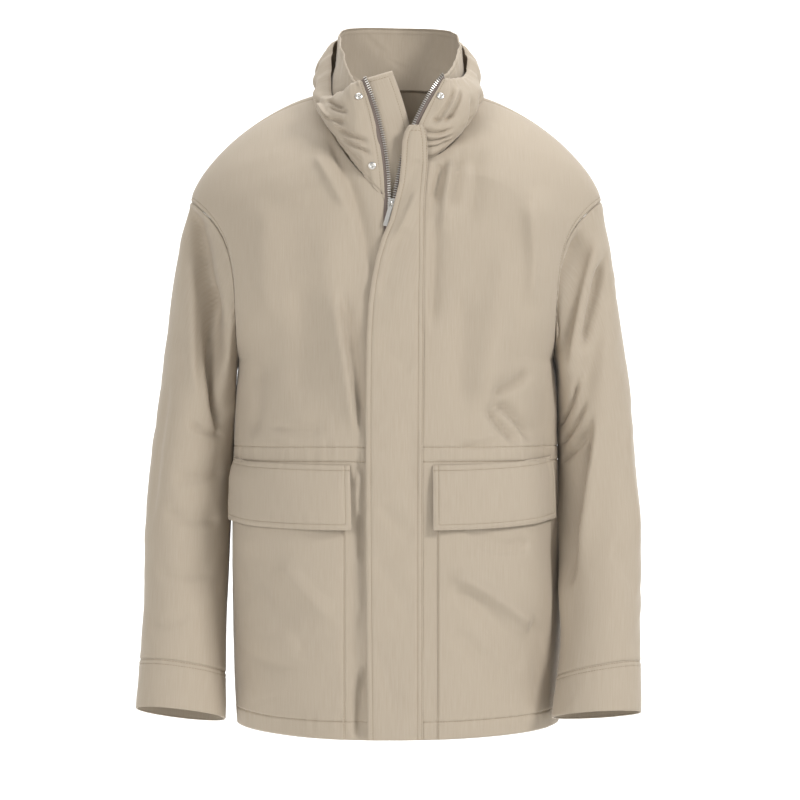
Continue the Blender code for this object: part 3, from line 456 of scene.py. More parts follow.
def near_paths(flat, creases, left, right):
    """How strongly each flat point feels each crease: 1 on its bent path, fading to either side.

    The path is a quadratic curve of 14 straight pieces. Away from it the strength falls as
    1 / (1 + (distance / width)^2)^1.5, and over the last quarter at both ends it fades to 0.
    """
    t = np.linspace(0, 1, 15)[:, None]
    names = [name for name in creases if name[0] in "xzuv" and name[1:].isdigit()]
    for row in zip(*creases.values()):
        size = dict(zip(creases, row))
        a, b, c = (np.array([size[names[i]], size[names[i + 1]]]) for i in (0, 2, 4))
        path = a * (1 - t) ** 2 + b * 2 * t * (1 - t) + c * t**2
        step = np.diff(path, axis=0)
        away = flat[..., None, :] - path[:-1]
        share = np.clip((away * step).sum(-1) / (step**2).sum(-1), 0, 1)
        away = away - share[..., None] * step
        distance = np.linalg.norm(away, axis=-1)
        nearest = distance.argmin(axis=-1)[..., None]
        share = np.take_along_axis(share, nearest, -1)[..., 0]
        distance = np.take_along_axis(distance, nearest, -1)[..., 0]
        away = np.take_along_axis(away, nearest[..., None], -2)[..., 0, :]
        side = away[..., 0] * step[nearest[..., 0], 1] - away[..., 1] * step[nearest[..., 0], 0]
        along = (nearest[..., 0] + share) / len(step)
        fade = smooth_step(np.minimum(along, 1 - along) / 0.25)
        wide = np.where(side > 0, size[left], size[right])
        yield size, fade, (distance / wide) ** 2


def folded(points):
    """The points, moved in or out by each large fold that passes near them in its view."""
    moved = points.copy()
    for size, fade, away in near_paths(points[..., [0, 2]], FOLDS, "width", "width"):
        facing = size["facing"]
        fade = fade * smooth_step(facing * points[..., 1] / 0.045)
        moved[..., 1] += facing * size["depth"] * fade * np.exp(-away)
    return moved


def crease_depth(flat, creases):
    """The sum of all the creases' depths at each flat point."""
    total = np.zeros(flat.shape[:-1])
    for size, fade, away in near_paths(flat, creases, "wide_left", "wide_right"):
        total += size["depth"] * fade / (1 + away) ** 1.5
    return total


def outward_normals(grid, closed=False):
    """Unit normals of a grid, facing away from the body's or the sleeve's middle."""
    down = np.gradient(grid, axis=0)
    ring = np.concatenate([grid[:, -1:], grid, grid[:, :1]], axis=1) if closed else grid
    across = np.gradient(ring, axis=1)[:, 1:-1] if closed else np.gradient(ring, axis=1)
    normal = unit(np.cross(across, down))
    middle = grid.mean(axis=1, keepdims=True) if closed else 0
    return normal if (normal * (grid - middle) * (1, 1, 0)).sum() > 0 else -normal


def grain(points):
    """The cloth's own layout: metres across and down the warp, wider where it turns to the side."""
    x = points[..., 0]
    return np.stack([x + 0.1 * np.sign(x) * (np.abs(x) / 0.2) ** 4, points[..., 2]], axis=-1)


def rumple(points, size, seed):
    """Slow unevenness between about -1 and 1: five sine waves in different directions, each of
    them bent by the one before, the longest about size metres long."""
    chance = np.random.default_rng(seed)
    total, bent = 0.0, points / size
    for octave in range(5):
        direction = unit(chance.normal(size=3)) * (0.7 + 0.55 * octave)
        wave = np.sin(2 * math.pi * (bent @ direction) + chance.uniform(0, 6.3))
        total = total + wave / (1 + 0.7 * octave)
        bent = bent + 0.12 * wave[..., None] * unit(chance.normal(size=3))
    return total / 2.2


def crinkle(points, size, seed):
    """Fine crushed lines, from 0 to 1: (1 - |rumple|)^4, in patches where a slower one is high."""
    patches = smooth_step(rumple(points, 2.5 * size, seed + 100) + 0.45)
    return patches * np.clip(1 - np.abs(rumple(points, size, seed)), 0, 1) ** 4


def ripple(along, seed):
    """Uneven puckers along a seam, between about -1 and 1, 7 to 17 mm long."""
    chance = np.random.default_rng(seed)
    waves = [(0.0125, 1.0), (0.0171, 0.8), (0.0074, 0.6)]
    bend = 0.004 * np.sin(along / 0.021 + chance.uniform(0, 6))
    return sum(
        high * np.sin(2 * math.pi * (along + bend) / long + chance.uniform(0, 6)) / 2.2
        for long, high in waves
    )


def pulled_in(away, lines, depth=0.0007, wide=0.0011):
    """How far stitch lines at these distances from an edge pull the cloth in."""
    return -depth * sum(np.exp(-(((away - line) / wide) ** 2)) for line in lines)


def rolled_edge(away, depth=0.0012, wide=0.0014):
    """How far cloth turns in at a seam or a folded edge, at this distance from it."""
    return -depth * np.exp(-((away / wide) ** 2))


def distance_along(grid, axis):
    """Distance along each line of the grid, from its first point."""
    piece = np.linalg.norm(np.diff(grid, axis=axis), axis=-1)
    start = np.zeros_like(np.take(piece, [0], axis=axis))
    return np.concatenate([start, np.cumsum(piece, axis=axis)], axis=axis)


def read_along(at, knots, points):
    """The x, y and z of points, one at each knot, read at at on the straight lines between them."""
    return np.stack([np.interp(at, knots, points[:, axis]) for axis in range(3)], axis=-1)


def add_cloth(name, grid, outward, uv, thick, nodes, closed=False, finish=cotton):
    """A cloth piece: the grid is its outer face, and its thickness goes inwards."""
    return dress_cloth(name, grid_mesh(name, grid, outward, uv, closed), thick, nodes, finish)


def dress_cloth(name, mesh, thick, nodes, finish=cotton):
    """A mesh of a cloth's outer face, given its thickness inwards, its body and its solids."""
    piece = add_object(name, mesh, finish)
    wall = piece.modifiers.new("thickness", "SOLIDIFY")
    wall.thickness = thick
    wall.offset = -1
    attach(piece, "jacket")
    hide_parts(*nodes)
    return piece


# How thick a single cloth is at its seams, and two layers sewn together; a stitch and its thread.
CLOTH, DOUBLE_CLOTH = 0.0013, 0.0022
STITCH, THREAD = 0.0034, 0.00024
STITCH_PARTS = np.array([0.10, 0.24, 0.76, 0.90])
STITCH_LIFT = np.array([-0.9, 0.55, 0.55, -0.9])
STITCH_THICK = np.array([0.6, 1.0, 1.0, 0.6])


def add_stitches(name, lines):
    """Lines of stitches. Each stitch is a five-sided bar that dips into the cloth at both ends."""
    bars = []
    for points, outward in lines:
        run = distance_along(points[None], 1)[0]
        count = max(int(run[-1] / STITCH), 1)
        at = (np.arange(count)[:, None] + STITCH_PARTS) * run[-1] / count
        spine = read_along(at, run, points)
        out = unit(read_along(at, run, outward))
        side = unit(np.cross(spine[:, -1:] - spine[:, :1], out))
        angle = np.arange(5) * 2 * math.pi / 5
        thick = (THREAD * STITCH_THICK)[None, :, None, None]
        ring = side[:, :, None] * np.cos(angle)[:, None] + out[:, :, None] * np.sin(angle)[:, None]
        lift = out * (THREAD * STITCH_LIFT)[:, None]
        bars.append((spine + lift)[:, :, None] + ring * thick)
    bars = np.concatenate(bars)
    starts = np.arange(len(bars))[:, None, None] * 20
    first = np.arange(15).reshape(3, 5)
    after = np.roll(first, -1, axis=1)
    walls = np.stack([first, first + 5, after + 5, after], axis=-1).reshape(1, 15, 4) + starts
    caps = np.array([[4, 3, 2, 1, 0], [15, 16, 17, 18, 19]])[None, ::-1] + starts
    mesh = bpy.data.meshes.new(name)
    faces = walls.reshape(-1, 4).tolist() + caps.reshape(-1, 5).tolist()
    mesh.from_pydata(bars.reshape(-1, 3).tolist(), [], faces)
    mesh.shade_smooth()
    piece = add_object(name, mesh, thread)
    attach(piece, "jacket")
    return piece


# Points close together beside an edge, where its seam and stitches are, and even ones between.
PANEL_COLUMNS = 66
EDGE_BAND = 0.010
BESIDE = np.array(
    [0, 0.0007, 0.0015, 0.0024, 0.0036, 0.0050, 0.0057, 0.0064, 0.0071, 0.0080, EDGE_BAND]
)


def places_across(count):
    """A row's places, each a share of the row plus metres: beside both edges, and even between."""
    between = np.linspace(0, 1, count)[1:-1]
    share = np.concatenate([0 * BESIDE, between, 0 * BESIDE + 1])
    return share, np.concatenate([BESIDE, EDGE_BAND - 2 * EDGE_BAND * between, -BESIDE[::-1]])


def places_along(long, count):
    """Metres from 0 to long: those of BESIDE from both ends, and even ones between."""
    between = np.linspace(EDGE_BAND, long - EDGE_BAND, count)[1:-1]
    return np.concatenate([BESIDE, between, long - BESIDE[::-1]])


SHARE, METRES = places_across(PANEL_COLUMNS)
EDGE_STITCH, SECOND_STITCH = 0.0015, 0.0064
HEM_STITCH = 0.0215
PANEL_RUMPLE, PANEL_CRINKLE = 0.0011, 0.0009
CASING_TOP, CASING_BOTTOM = -0.4315, -0.4490
LINE_OFFSETS = np.array([-0.0026, -0.0014, -0.0007, 0, 0.0007, 0.0014, 0.0026])


def skirt_row(z):
    """The row of a panel at this height below the underarm."""
    return (np.asarray(z) - HEM_Z) / (UNDERARM_Z - HEM_Z) * 12


WAIST_LINES = np.array([HEM_Z + HEM_STITCH, CASING_TOP, CASING_BOTTOM])
PANEL_ROWS = np.concatenate(
    [
        np.linspace(0, 12, 91),
        np.linspace(12, 24, 91),
        skirt_row(WAIST_LINES[:, None] + LINE_OFFSETS).ravel(),
        24 - np.array([0.01, 0.02, 0.04, 0.07]),
        skirt_row(HEM_Z + np.array([0.0008, 0.0018])),
    ]
)
PANEL_ROWS = np.unique(np.round(PANEL_ROWS, 4))


def finished_panel(side, facing, creases, seed):
    """A half panel with its folds, creases, seams and stitch lines, its normals and its layout."""
    grid, at, length = half_panel(side, facing, PANEL_ROWS, SHARE, METRES)
    grid = folded(grid)
    kernel = np.hanning(13)[1:-1] / np.hanning(13).sum()
    padded = np.pad(grid, ((5, 5), (0, 0), (0, 0)), mode="edge")
    eased = sum(share * padded[i : i + len(grid)] for i, share in enumerate(kernel))
    at_corner = np.exp(-(((PANEL_ROWS[:, None] - 18) / 1.2) ** 2)) * smooth_step(at / 0.03)
    at_corner = at_corner * smooth_step((length[:, None] - at) / 0.03)
    grid = grid + (eased - grid) * at_corner[..., None]
    outward = outward_normals(grid)
    if facing > 0:
        outward[PANEL_ROWS <= 18, 0, 0] = 0
        outward = unit(outward)
    from_side = length[:, None] - at
    up = distance_along(grid, 0)
    rows = PANEL_ROWS[:, None]
    depth = crease_depth(grid[..., [0, 2]], creases)
    quiet = smooth_step(from_side / 0.02) * smooth_step((24 - rows) / 1.5)
    depth = depth * quiet + PANEL_RUMPLE * quiet * rumple(grid, 0.16, seed)
    depth -= PANEL_CRINKLE * quiet * crinkle(grid, 0.15, seed + 2)
    armhole = smooth_step((rows - 12) / 0.2)
    depth += rolled_edge(from_side, 0.0004 + 0.0008 * armhole)
    depth += armhole * pulled_in(from_side, (EDGE_STITCH, SECOND_STITCH))
    depth += armhole * 0.0004 * ripple(up, seed) * np.exp(-((from_side / 0.012) ** 2))
    for line in WAIST_LINES:
        above = (rows - skirt_row(line)) / 12 * (UNDERARM_Z - HEM_Z)
        strength = 1.0 if line < WAIST_Z - 0.1 else 1.5
        depth += strength * pulled_in(above, (0.0,))
        depth += strength * 0.0005 * ripple(at, seed + 5) * np.exp(-((above / 0.011) ** 2))
    depth += rolled_edge((24 - rows) / 12 * 0.30) + rolled_edge(up, 0.0008, 0.0012)
    if facing < 0:
        neck = smooth_step((rows - 18) / 0.2)
        depth += neck * rolled_edge(at) + (1 - neck) * rolled_edge(at, 0.0008)
    else:
        depth += smooth_step((rows - 18) / 0.2) * rolled_edge(at)
    grid = grid + outward * depth[..., None]
    return grid, outward, grain(grid), at


def row_line(grid, outward, row, first=0, last=None):
    """The points and normals of a panel's row, as a line to be stitched."""
    i = np.abs(PANEL_ROWS - row).argmin()
    return grid[i, first:last], outward[i, first:last]


fronts = {}
for side in ("right", "left"):
    grid, outward, uv, at = finished_panel(side, -1, FRONT_CREASES[side], len(side))
    fronts[side] = (grid, outward, at)
    piece = add_cloth(side + "_front", grid, outward, uv, CLOTH, ["front_" + side])
    above_underarm = PANEL_ROWS >= 12
    lines = [
        (grid[above_underarm, -1 - i], outward[above_underarm, -1 - i])
        for i in (2, 7)
    ]
    lines += [row_line(grid, outward, skirt_row(z), 6, -6) for z in WAIST_LINES]
    add_stitches(side + "_front_stitches", lines)


# ---------------------------------------------------------------------------------------------
# The back. One piece, hem to nape, with the same hem and casing lines as the fronts. It is built
# as two halves that share their centre line, and joined there before it gets its thickness.

BACK_CREASES = table(
    "x0 z0 x1 z1 x2 z2 wide_left wide_right depth",
    [
        (-0.030, -0.060, -0.120, -0.090, -0.190, -0.160, 0.010, 0.016, -0.0042),
        (-0.105, -0.200, -0.120, -0.300, -0.095, -0.410, 0.014, 0.022, 0.0056),
        (-0.180, -0.350, -0.140, -0.385, -0.090, -0.400, 0.007, 0.012, -0.0042),
        (-0.185, -0.300, -0.130, -0.330, -0.085, -0.390, 0.010, 0.014, 0.0045),
        (-0.030, -0.450, -0.022, -0.560, -0.036, -0.740, 0.012, 0.020, -0.0048),
        (-0.120, -0.460, -0.135, -0.580, -0.120, -0.720, 0.016, 0.022, 0.0056),
        (-0.165, -0.470, -0.160, -0.560, -0.172, -0.690, 0.010, 0.014, -0.0042),
        (-0.070, -0.405, -0.090, -0.425, -0.150, -0.420, 0.006, 0.009, -0.0034),
        (0.040, -0.050, 0.110, -0.095, 0.200, -0.150, 0.014, 0.010, -0.0045),
        (0.085, -0.190, 0.100, -0.290, 0.070, -0.420, 0.020, 0.013, 0.0050),
        (0.185, -0.330, 0.150, -0.370, 0.080, -0.385, 0.011, 0.007, -0.0045),
        (0.180, -0.280, 0.120, -0.300, 0.090, -0.350, 0.014, 0.010, 0.0042),
        (0.022, -0.460, 0.035, -0.580, 0.020, -0.700, 0.018, 0.012, -0.0042),
        (0.130, -0.450, 0.120, -0.590, 0.140, -0.740, 0.022, 0.015, 0.0059),
        (0.170, -0.480, 0.178, -0.580, 0.165, -0.680, 0.014, 0.009, -0.0039),
        (0.080, -0.410, 0.120, -0.432, 0.160, -0.418, 0.009, 0.006, -0.0031),
    ],
)

halves = {side: finished_panel(side, 1, BACK_CREASES, 11)[:3] for side in ("right", "left")}
shared = PANEL_ROWS <= 18
centre = (halves["right"][0][shared, 0] + halves["left"][0][shared, 0]) / 2
both, lines = bmesh.new(), []
for grid, outward, uv in halves.values():
    grid[shared, 0] = centre
    half = grid_mesh("back_half", grid, outward, uv)
    both.from_mesh(half)
    bpy.data.meshes.remove(half)
    armhole = PANEL_ROWS >= 12
    lines += [(grid[armhole, -1 - i], outward[armhole, -1 - i]) for i in (2, 7)]
    lines += [row_line(grid, outward, skirt_row(z), 0, -6) for z in WAIST_LINES]
bmesh.ops.remove_doubles(both, verts=both.verts, dist=1e-6)
mesh = bpy.data.meshes.new("back_panel")
both.to_mesh(mesh)
both.free()
piece = dress_cloth("back_panel", mesh, CLOTH, ["back"])
add_stitches("back_stitches", lines)


# ---------------------------------------------------------------------------------------------
# The sleeves and cuffs. Each sleeve is one piece round the arm, sewn under the arm and set into
# the dropped armhole. Its end is turned up in a deep band, held by two lines of stitches. It
# hangs a little forward, and folds gather where it bends inside the elbow and at the armhole.

SLEEVE_SIZES = "at out_x out_z in_x in_z mid_y front back bow tilt"
ARMHOLE_RING = (0, SHOULDER_X, SHOULDER_Z, UNDERARM_X, UNDERARM_Z, 0, 0.077, 0.086, 4.5, 0)
SLEEVES = {
    "right": table(
        SLEEVE_SIZES,
        [
            ARMHOLE_RING,
            (0.07, 0.2670, -0.168, 0.1990, -0.338, 0.000, 0.074, 0.081, 3.0, 0.00),
            (0.15, 0.2750, -0.215, 0.2010, -0.357, 0.000, 0.070, 0.077, 2.0, 0.00),
            (0.25, 0.2840, -0.277, 0.2020, -0.385, 0.002, 0.066, 0.073, 1.3, 0.00),
            (0.39, 0.2960, -0.365, 0.2030, -0.435, 0.003, 0.062, 0.068, 1.0, 0.00),
            (0.55, 0.3080, -0.465, 0.2055, -0.508, 0.000, 0.059, 0.063, 1.0, 0.05),
            (0.70, 0.3125, -0.560, 0.2080, -0.588, -0.012, 0.056, 0.058, 1.0, 0.15),
            (0.82, 0.3130, -0.636, 0.2100, -0.656, -0.030, 0.053, 0.055, 1.0, 0.20),
            (0.91, 0.3155, -0.695, 0.2095, -0.710, -0.045, 0.051, 0.053, 1.0, 0.22),
            (1.00, 0.3190, -0.754, 0.2090, -0.766, -0.058, 0.051, 0.053, 1.0, 0.24),
        ],
    ),
    "left": table(
        SLEEVE_SIZES,
        [
            ARMHOLE_RING,
            (0.07, 0.2650, -0.170, 0.1990, -0.338, 0.000, 0.074, 0.081, 3.0, 0.00),
            (0.15, 0.2720, -0.214, 0.2010, -0.357, 0.000, 0.070, 0.077, 2.0, 0.00),
            (0.25, 0.2800, -0.270, 0.2020, -0.385, 0.002, 0.066, 0.073, 1.3, 0.00),
            (0.39, 0.2910, -0.357, 0.2030, -0.435, 0.001, 0.062, 0.068, 1.0, 0.00),
            (0.55, 0.2990, -0.457, 0.2060, -0.508, -0.008, 0.059, 0.063, 1.0, 0.05),
            (0.70, 0.3020, -0.547, 0.2080, -0.588, -0.032, 0.056, 0.057, 1.0, 0.15),
            (0.82, 0.3005, -0.632, 0.2040, -0.654, -0.057, 0.053, 0.053, 1.0, 0.20),
            (0.91, 0.2985, -0.694, 0.1965, -0.711, -0.076, 0.051, 0.050, 1.0, 0.21),
            (1.00, 0.2980, -0.7545, 0.1890, -0.7600, -0.093, 0.051, 0.050, 1.0, 0.21),
        ],
    ),
}
CUFF_SEAM, CUFF_CLOTH = 0.91, 0.0018
CUFF_STITCHES = (0.0023, 0.0098)
SLEEVE_LENGTH, SLEEVE_ROUND = 0.62, 0.42
SLEEVE_RUMPLE, SLEEVE_CRINKLE = 0.0016, 0.0012
AROUND = np.arange(132) * 2 * math.pi / 132
SLEEVE_BESIDE = np.array([0, 0.0012, 0.0026, 0.0042, 0.006, 0.009, 0.014])
SLEEVE_AT = np.concatenate(
    [SLEEVE_BESIDE, np.linspace(0.02, 0.890, 126), CUFF_SEAM - SLEEVE_BESIDE[::-1]]
)
CUFF_BESIDE = np.array([0, 0.001, 0.0023, 0.0037, 0.0052, 0.0070, 0.0086, 0.0098, 0.0110, 0.0125])
CUFF_AT = np.concatenate(
    [
        CUFF_SEAM + CUFF_BESIDE,
        np.linspace(0.926, 0.994, 16),
        1 - np.array([0.0036, 0.0018, 0.0007, 0]),
    ]
)
# Creases in each sleeve, laid flat: u is metres round from the front's middle towards the body,
# v is metres down from the armhole.
SLEEVE_CREASES = {
    "right": table(
        "u0 v0 u1 v1 u2 v2 wide_left wide_right depth",
        [
            (-0.100, 0.004, -0.052, 0.045, -0.010, 0.105, 0.020, 0.006, -0.0190),
            (-0.040, 0.062, 0.012, 0.146, 0.054, 0.240, 0.020, 0.006, -0.0225),
            (-0.060, 0.050, -0.030, 0.130, 0.005, 0.210, 0.006, 0.018, 0.0070),
            (0.060, 0.225, 0.030, 0.250, -0.010, 0.250, 0.005, 0.010, -0.0056),
            (0.075, 0.285, 0.030, 0.320, -0.030, 0.340, 0.006, 0.012, -0.0050),
            (-0.060, 0.200, -0.050, 0.300, -0.070, 0.420, 0.014, 0.022, -0.0042),
            (0.065, 0.360, 0.020, 0.390, -0.050, 0.385, 0.008, 0.013, -0.0048),
            (0.060, 0.440, 0.000, 0.470, -0.060, 0.460, 0.008, 0.012, -0.0036),
            (0.020, 0.505, -0.020, 0.530, -0.070, 0.530, 0.007, 0.010, -0.0028),
            (-0.130, 0.160, -0.170, 0.210, -0.190, 0.300, 0.012, 0.018, -0.0056),
            (-0.120, 0.330, -0.160, 0.360, -0.200, 0.350, 0.010, 0.014, -0.0056),
        ],
    ),
    "left": table(
        "u0 v0 u1 v1 u2 v2 wide_left wide_right depth",
        [
            (-0.055, 0.012, -0.010, 0.022, 0.045, 0.040, 0.005, 0.012, -0.0135),
            (-0.083, 0.062, -0.040, 0.105, 0.000, 0.145, 0.014, 0.004, -0.0135),
            (-0.075, 0.030, -0.020, 0.075, 0.030, 0.130, 0.008, 0.014, 0.0056),
            (0.010, 0.225, 0.044, 0.345, 0.068, 0.470, 0.026, 0.006, -0.0190),
            (0.000, 0.225, 0.032, 0.340, 0.056, 0.450, 0.005, 0.020, 0.0080),
            (0.085, 0.200, 0.050, 0.192, 0.010, 0.165, 0.004, 0.009, -0.0090),
            (0.085, 0.236, 0.050, 0.233, 0.010, 0.205, 0.004, 0.008, -0.0090),
            (0.085, 0.266, 0.050, 0.264, 0.020, 0.245, 0.004, 0.008, -0.0075),
            (-0.060, 0.250, -0.050, 0.350, -0.080, 0.460, 0.014, 0.020, 0.0042),
            (-0.010, 0.420, -0.030, 0.470, -0.070, 0.490, 0.010, 0.014, -0.0036),
            (-0.130, 0.140, -0.170, 0.200, -0.200, 0.290, 0.012, 0.018, -0.0059),
            (-0.120, 0.320, -0.165, 0.350, -0.200, 0.345, 0.010, 0.014, -0.0056),
        ],
    ),
}
BODY_SIDE = 0.105
# Where the sleeve's inner side swells against the body: metres down, round, wide and out.
SWELL = {
    "right": table(
        "down round wide out",
        [(0.11, 0.080, 0.018, 0.0034), (0.22, 0.105, 0.030, 0.0013)],
    ),
    "left": table(
        "down round wide out",
        [(0.40, 0.085, 0.022, 0.0100), (0.20, 0.105, 0.030, 0.0010)],
    ),
}


def sleeve_tube(side, at):
    """Rings from the armhole to the sleeve's end, each from the underarm round by the front.

    Between its inner and outer point a ring rises as (1 - cos(turn)) / 2, raised to its bow across
    the body. It is as deep as sin(turn) times its front or back depth, and the tilt lowers its back.
    """
    sizes = SLEEVES[side]
    size = {name: curve(sizes["at"], sizes[name], at)[:, None] for name in sizes}
    rise = (1 - np.cos(AROUND)) / 2
    x = size["in_x"] + (size["out_x"] - size["in_x"]) * rise ** size["bow"]
    z = size["in_z"] + (size["out_z"] - size["in_z"]) * rise
    y = -np.sin(AROUND) * np.where(AROUND < math.pi, size["front"], size["back"])
    sign = 1 if side == "left" else -1
    return folded(np.stack([sign * x, size["mid_y"] + y, z - size["tilt"] * y], axis=2))


def sleeve_layout(at, columns):
    """The flat layout: metres round from the front's middle, and metres down from the armhole."""
    u = (0.25 - columns / (2 * math.pi)) * SLEEVE_ROUND
    return np.stack(np.broadcast_arrays(u[None], (at * SLEEVE_LENGTH)[:, None]), axis=2)


def wrapped(flat):
    """A layout whose way round runs from minus half the sleeve to plus half of it."""
    u = (flat[..., 0] + SLEEVE_ROUND / 2) % SLEEVE_ROUND - SLEEVE_ROUND / 2
    return np.stack([u, flat[..., 1]], axis=2)


closing = np.append(AROUND, 2 * math.pi)
for side in ("right", "left"):
    grid = sleeve_tube(side, SLEEVE_AT)
    outward = outward_normals(grid, closed=True)
    down = distance_along(grid, 0)
    flat = wrapped(sleeve_layout(SLEEVE_AT, AROUND))
    from_end = down[-1:] - down
    beside_body = smooth_step(np.abs(flat[..., 0] - BODY_SIDE) / 0.03)
    quiet = smooth_step(down / 0.010) * smooth_step(from_end / 0.02) * beside_body
    creased = crease_depth(flat, SLEEVE_CREASES[side]) + SLEEVE_RUMPLE * rumple(grid, 0.13, 31)
    depth = quiet * creased
    depth -= SLEEVE_CRINKLE * quiet * crinkle(grid, 0.13, 34)
    run = distance_along(grid[:1], 1)[0]
    depth += 0.0006 * ripple(run, 33) * np.exp(-((down / 0.016) ** 2))
    depth += rolled_edge(down) + rolled_edge(from_end, 0.0010)
    for low, turned, wide, out in zip(*SWELL[side].values()):
        near = np.exp(-(((flat[..., 0] - turned) / wide) ** 2) - ((flat[..., 1] - low) / 0.11) ** 4)
        depth += out * near
    grid = grid + outward * depth[..., None]
    uv = sleeve_layout(SLEEVE_AT, closing)
    name = side + "_sleeve"
    piece = add_cloth(name, grid, outward, uv, CLOTH, ["sleeve_" + side], closed=True)

    grid = sleeve_tube(side, CUFF_AT)
    outward = outward_normals(grid, closed=True)
    down = distance_along(grid, 0)
    run = distance_along(grid[:1], 1)[0]
    depth = rolled_edge(down, 0.0010) + rolled_edge(down[-1:] - down, 0.0006, 0.0010)
    stitch_rows = [np.abs(CUFF_AT - CUFF_SEAM - offset).argmin() for offset in CUFF_STITCHES]
    for i in stitch_rows:
        depth += pulled_in(down - down[i : i + 1], (0.0,), 0.0007, 0.0010)
    depth += 0.0005 * ripple(run, 35) * np.exp(-(((down - down[stitch_rows[1]]) / 0.010) ** 2))
    depth += 0.0008 * rumple(grid, 0.07, 36) * smooth_step(down / 0.03)
    grid = grid + outward * depth[..., None]
    uv = sleeve_layout(CUFF_AT, closing)
    name = side + "_cuff"
    piece = add_cloth(name, grid, outward, uv, CUFF_CLOTH, ["cuff_" + side], closed=True)
    add_stitches(side + "_cuff_stitches", [(grid[i], outward[i]) for i in stitch_rows])


# ---------------------------------------------------------------------------------------------
# The collar. Two walls of the same cotton stand up from the neck seam, with the pocket for a
# stowed hood between them, open along the top. The outer wall bulges and rolls over it in soft
# gathers, and the inner wall stands higher at the back. Its front edges are topstitched.

COLLAR = table(
    "at mid_x mid_y mid_z top_x top_y top_z",
    [
        (0.0, -0.0210, -0.119, -0.058, -0.0420, -0.101, 0.0130),
        (1.5, -0.0500, -0.119, -0.045, -0.0535, -0.094, 0.0100),
        (3.0, -0.0810, -0.092, -0.030, -0.0660, -0.078, 0.0020),
        (4.5, -0.1020, -0.052, -0.008, -0.0780, -0.050, 0.0000),
        (6.0, -0.1050, -0.004, 0.021, -0.0815, -0.008, 0.0400),
        (8.0, -0.1000, 0.038, 0.043, -0.0780, 0.038, 0.0790),
        (10.0, -0.0600, 0.088, 0.054, -0.0520, 0.080, 0.0960),
        (12.0, 0.0000, 0.107, 0.058, 0.0020, 0.099, 0.1000),
        (14.0, 0.0620, 0.088, 0.054, 0.0600, 0.080, 0.0940),
        (16.0, 0.1030, 0.038, 0.042, 0.0850, 0.038, 0.0740),
        (18.0, 0.1080, -0.004, 0.020, 0.0895, -0.008, 0.0400),
        (19.5, 0.1090, -0.048, -0.004, 0.0830, -0.045, 0.0250),
        (21.0, 0.0900, -0.090, -0.024, 0.0740, -0.068, 0.0200),
        (22.5, 0.0620, -0.111, -0.034, 0.0670, -0.082, 0.0180),
        (24.0, 0.0310, -0.115, -0.035, 0.0600, -0.092, 0.0165),
    ],
)
INNER_COLLAR = table(
    "at top_x top_y top_z bow",
    [
        (1.1, -0.0490, -0.0900, 0.0120, 0.000),
        (2.0, -0.0530, -0.0830, 0.0170, 0.000),
        (3.5, -0.0605, -0.0650, 0.0320, -0.002),
        (5.0, -0.0680, -0.0350, 0.0560, -0.006),
        (6.5, -0.0725, 0.0050, 0.0780, -0.005),
        (8.0, -0.0700, 0.0350, 0.0920, 0.002),
        (10.0, -0.0450, 0.0730, 0.1010, 0.006),
        (12.0, 0.0020, 0.0910, 0.1030, 0.007),
        (14.0, 0.0520, 0.0730, 0.0990, 0.006),
        (16.0, 0.0760, 0.0350, 0.0880, 0.003),
        (17.5, 0.0800, 0.0050, 0.0700, 0.001),
        (19.0, 0.0760, -0.0320, 0.0480, 0.000),
        (20.5, 0.0690, -0.0560, 0.0320, 0.000),
        (22.0, 0.0620, -0.0740, 0.0230, 0.000),
        (23.2, 0.0570, -0.0820, 0.0180, 0.000),
    ],
)
INNER_INSET, INNER_FOOT = 0.0029, 0.0010
COLLAR_ROUND, COLLAR_HIGH, COLLAR_CLOTH, COLLAR_STITCH = 0.52, 0.13, 0.0015, 0.0068
COLLAR_BESIDE = np.array([0, 0.04, 0.10, 0.17, 0.26, 0.37])
COLLAR_AT = np.concatenate([COLLAR_BESIDE, np.linspace(0.5, 23.5, 205), 24 - COLLAR_BESIDE[::-1]])
# The wall's rows: its seam allowance below the neck seam, then up to the rolled top edge.
COLLAR_UP = np.concatenate(
    [
        [-0.035, -0.018, 0, 0.006, 0.014, 0.024, 0.036],
        np.linspace(0.05, 0.95, 50),
        [0.964, 0.976, 0.986, 0.994, 1],
    ]
)
SEAM_ROW = 2
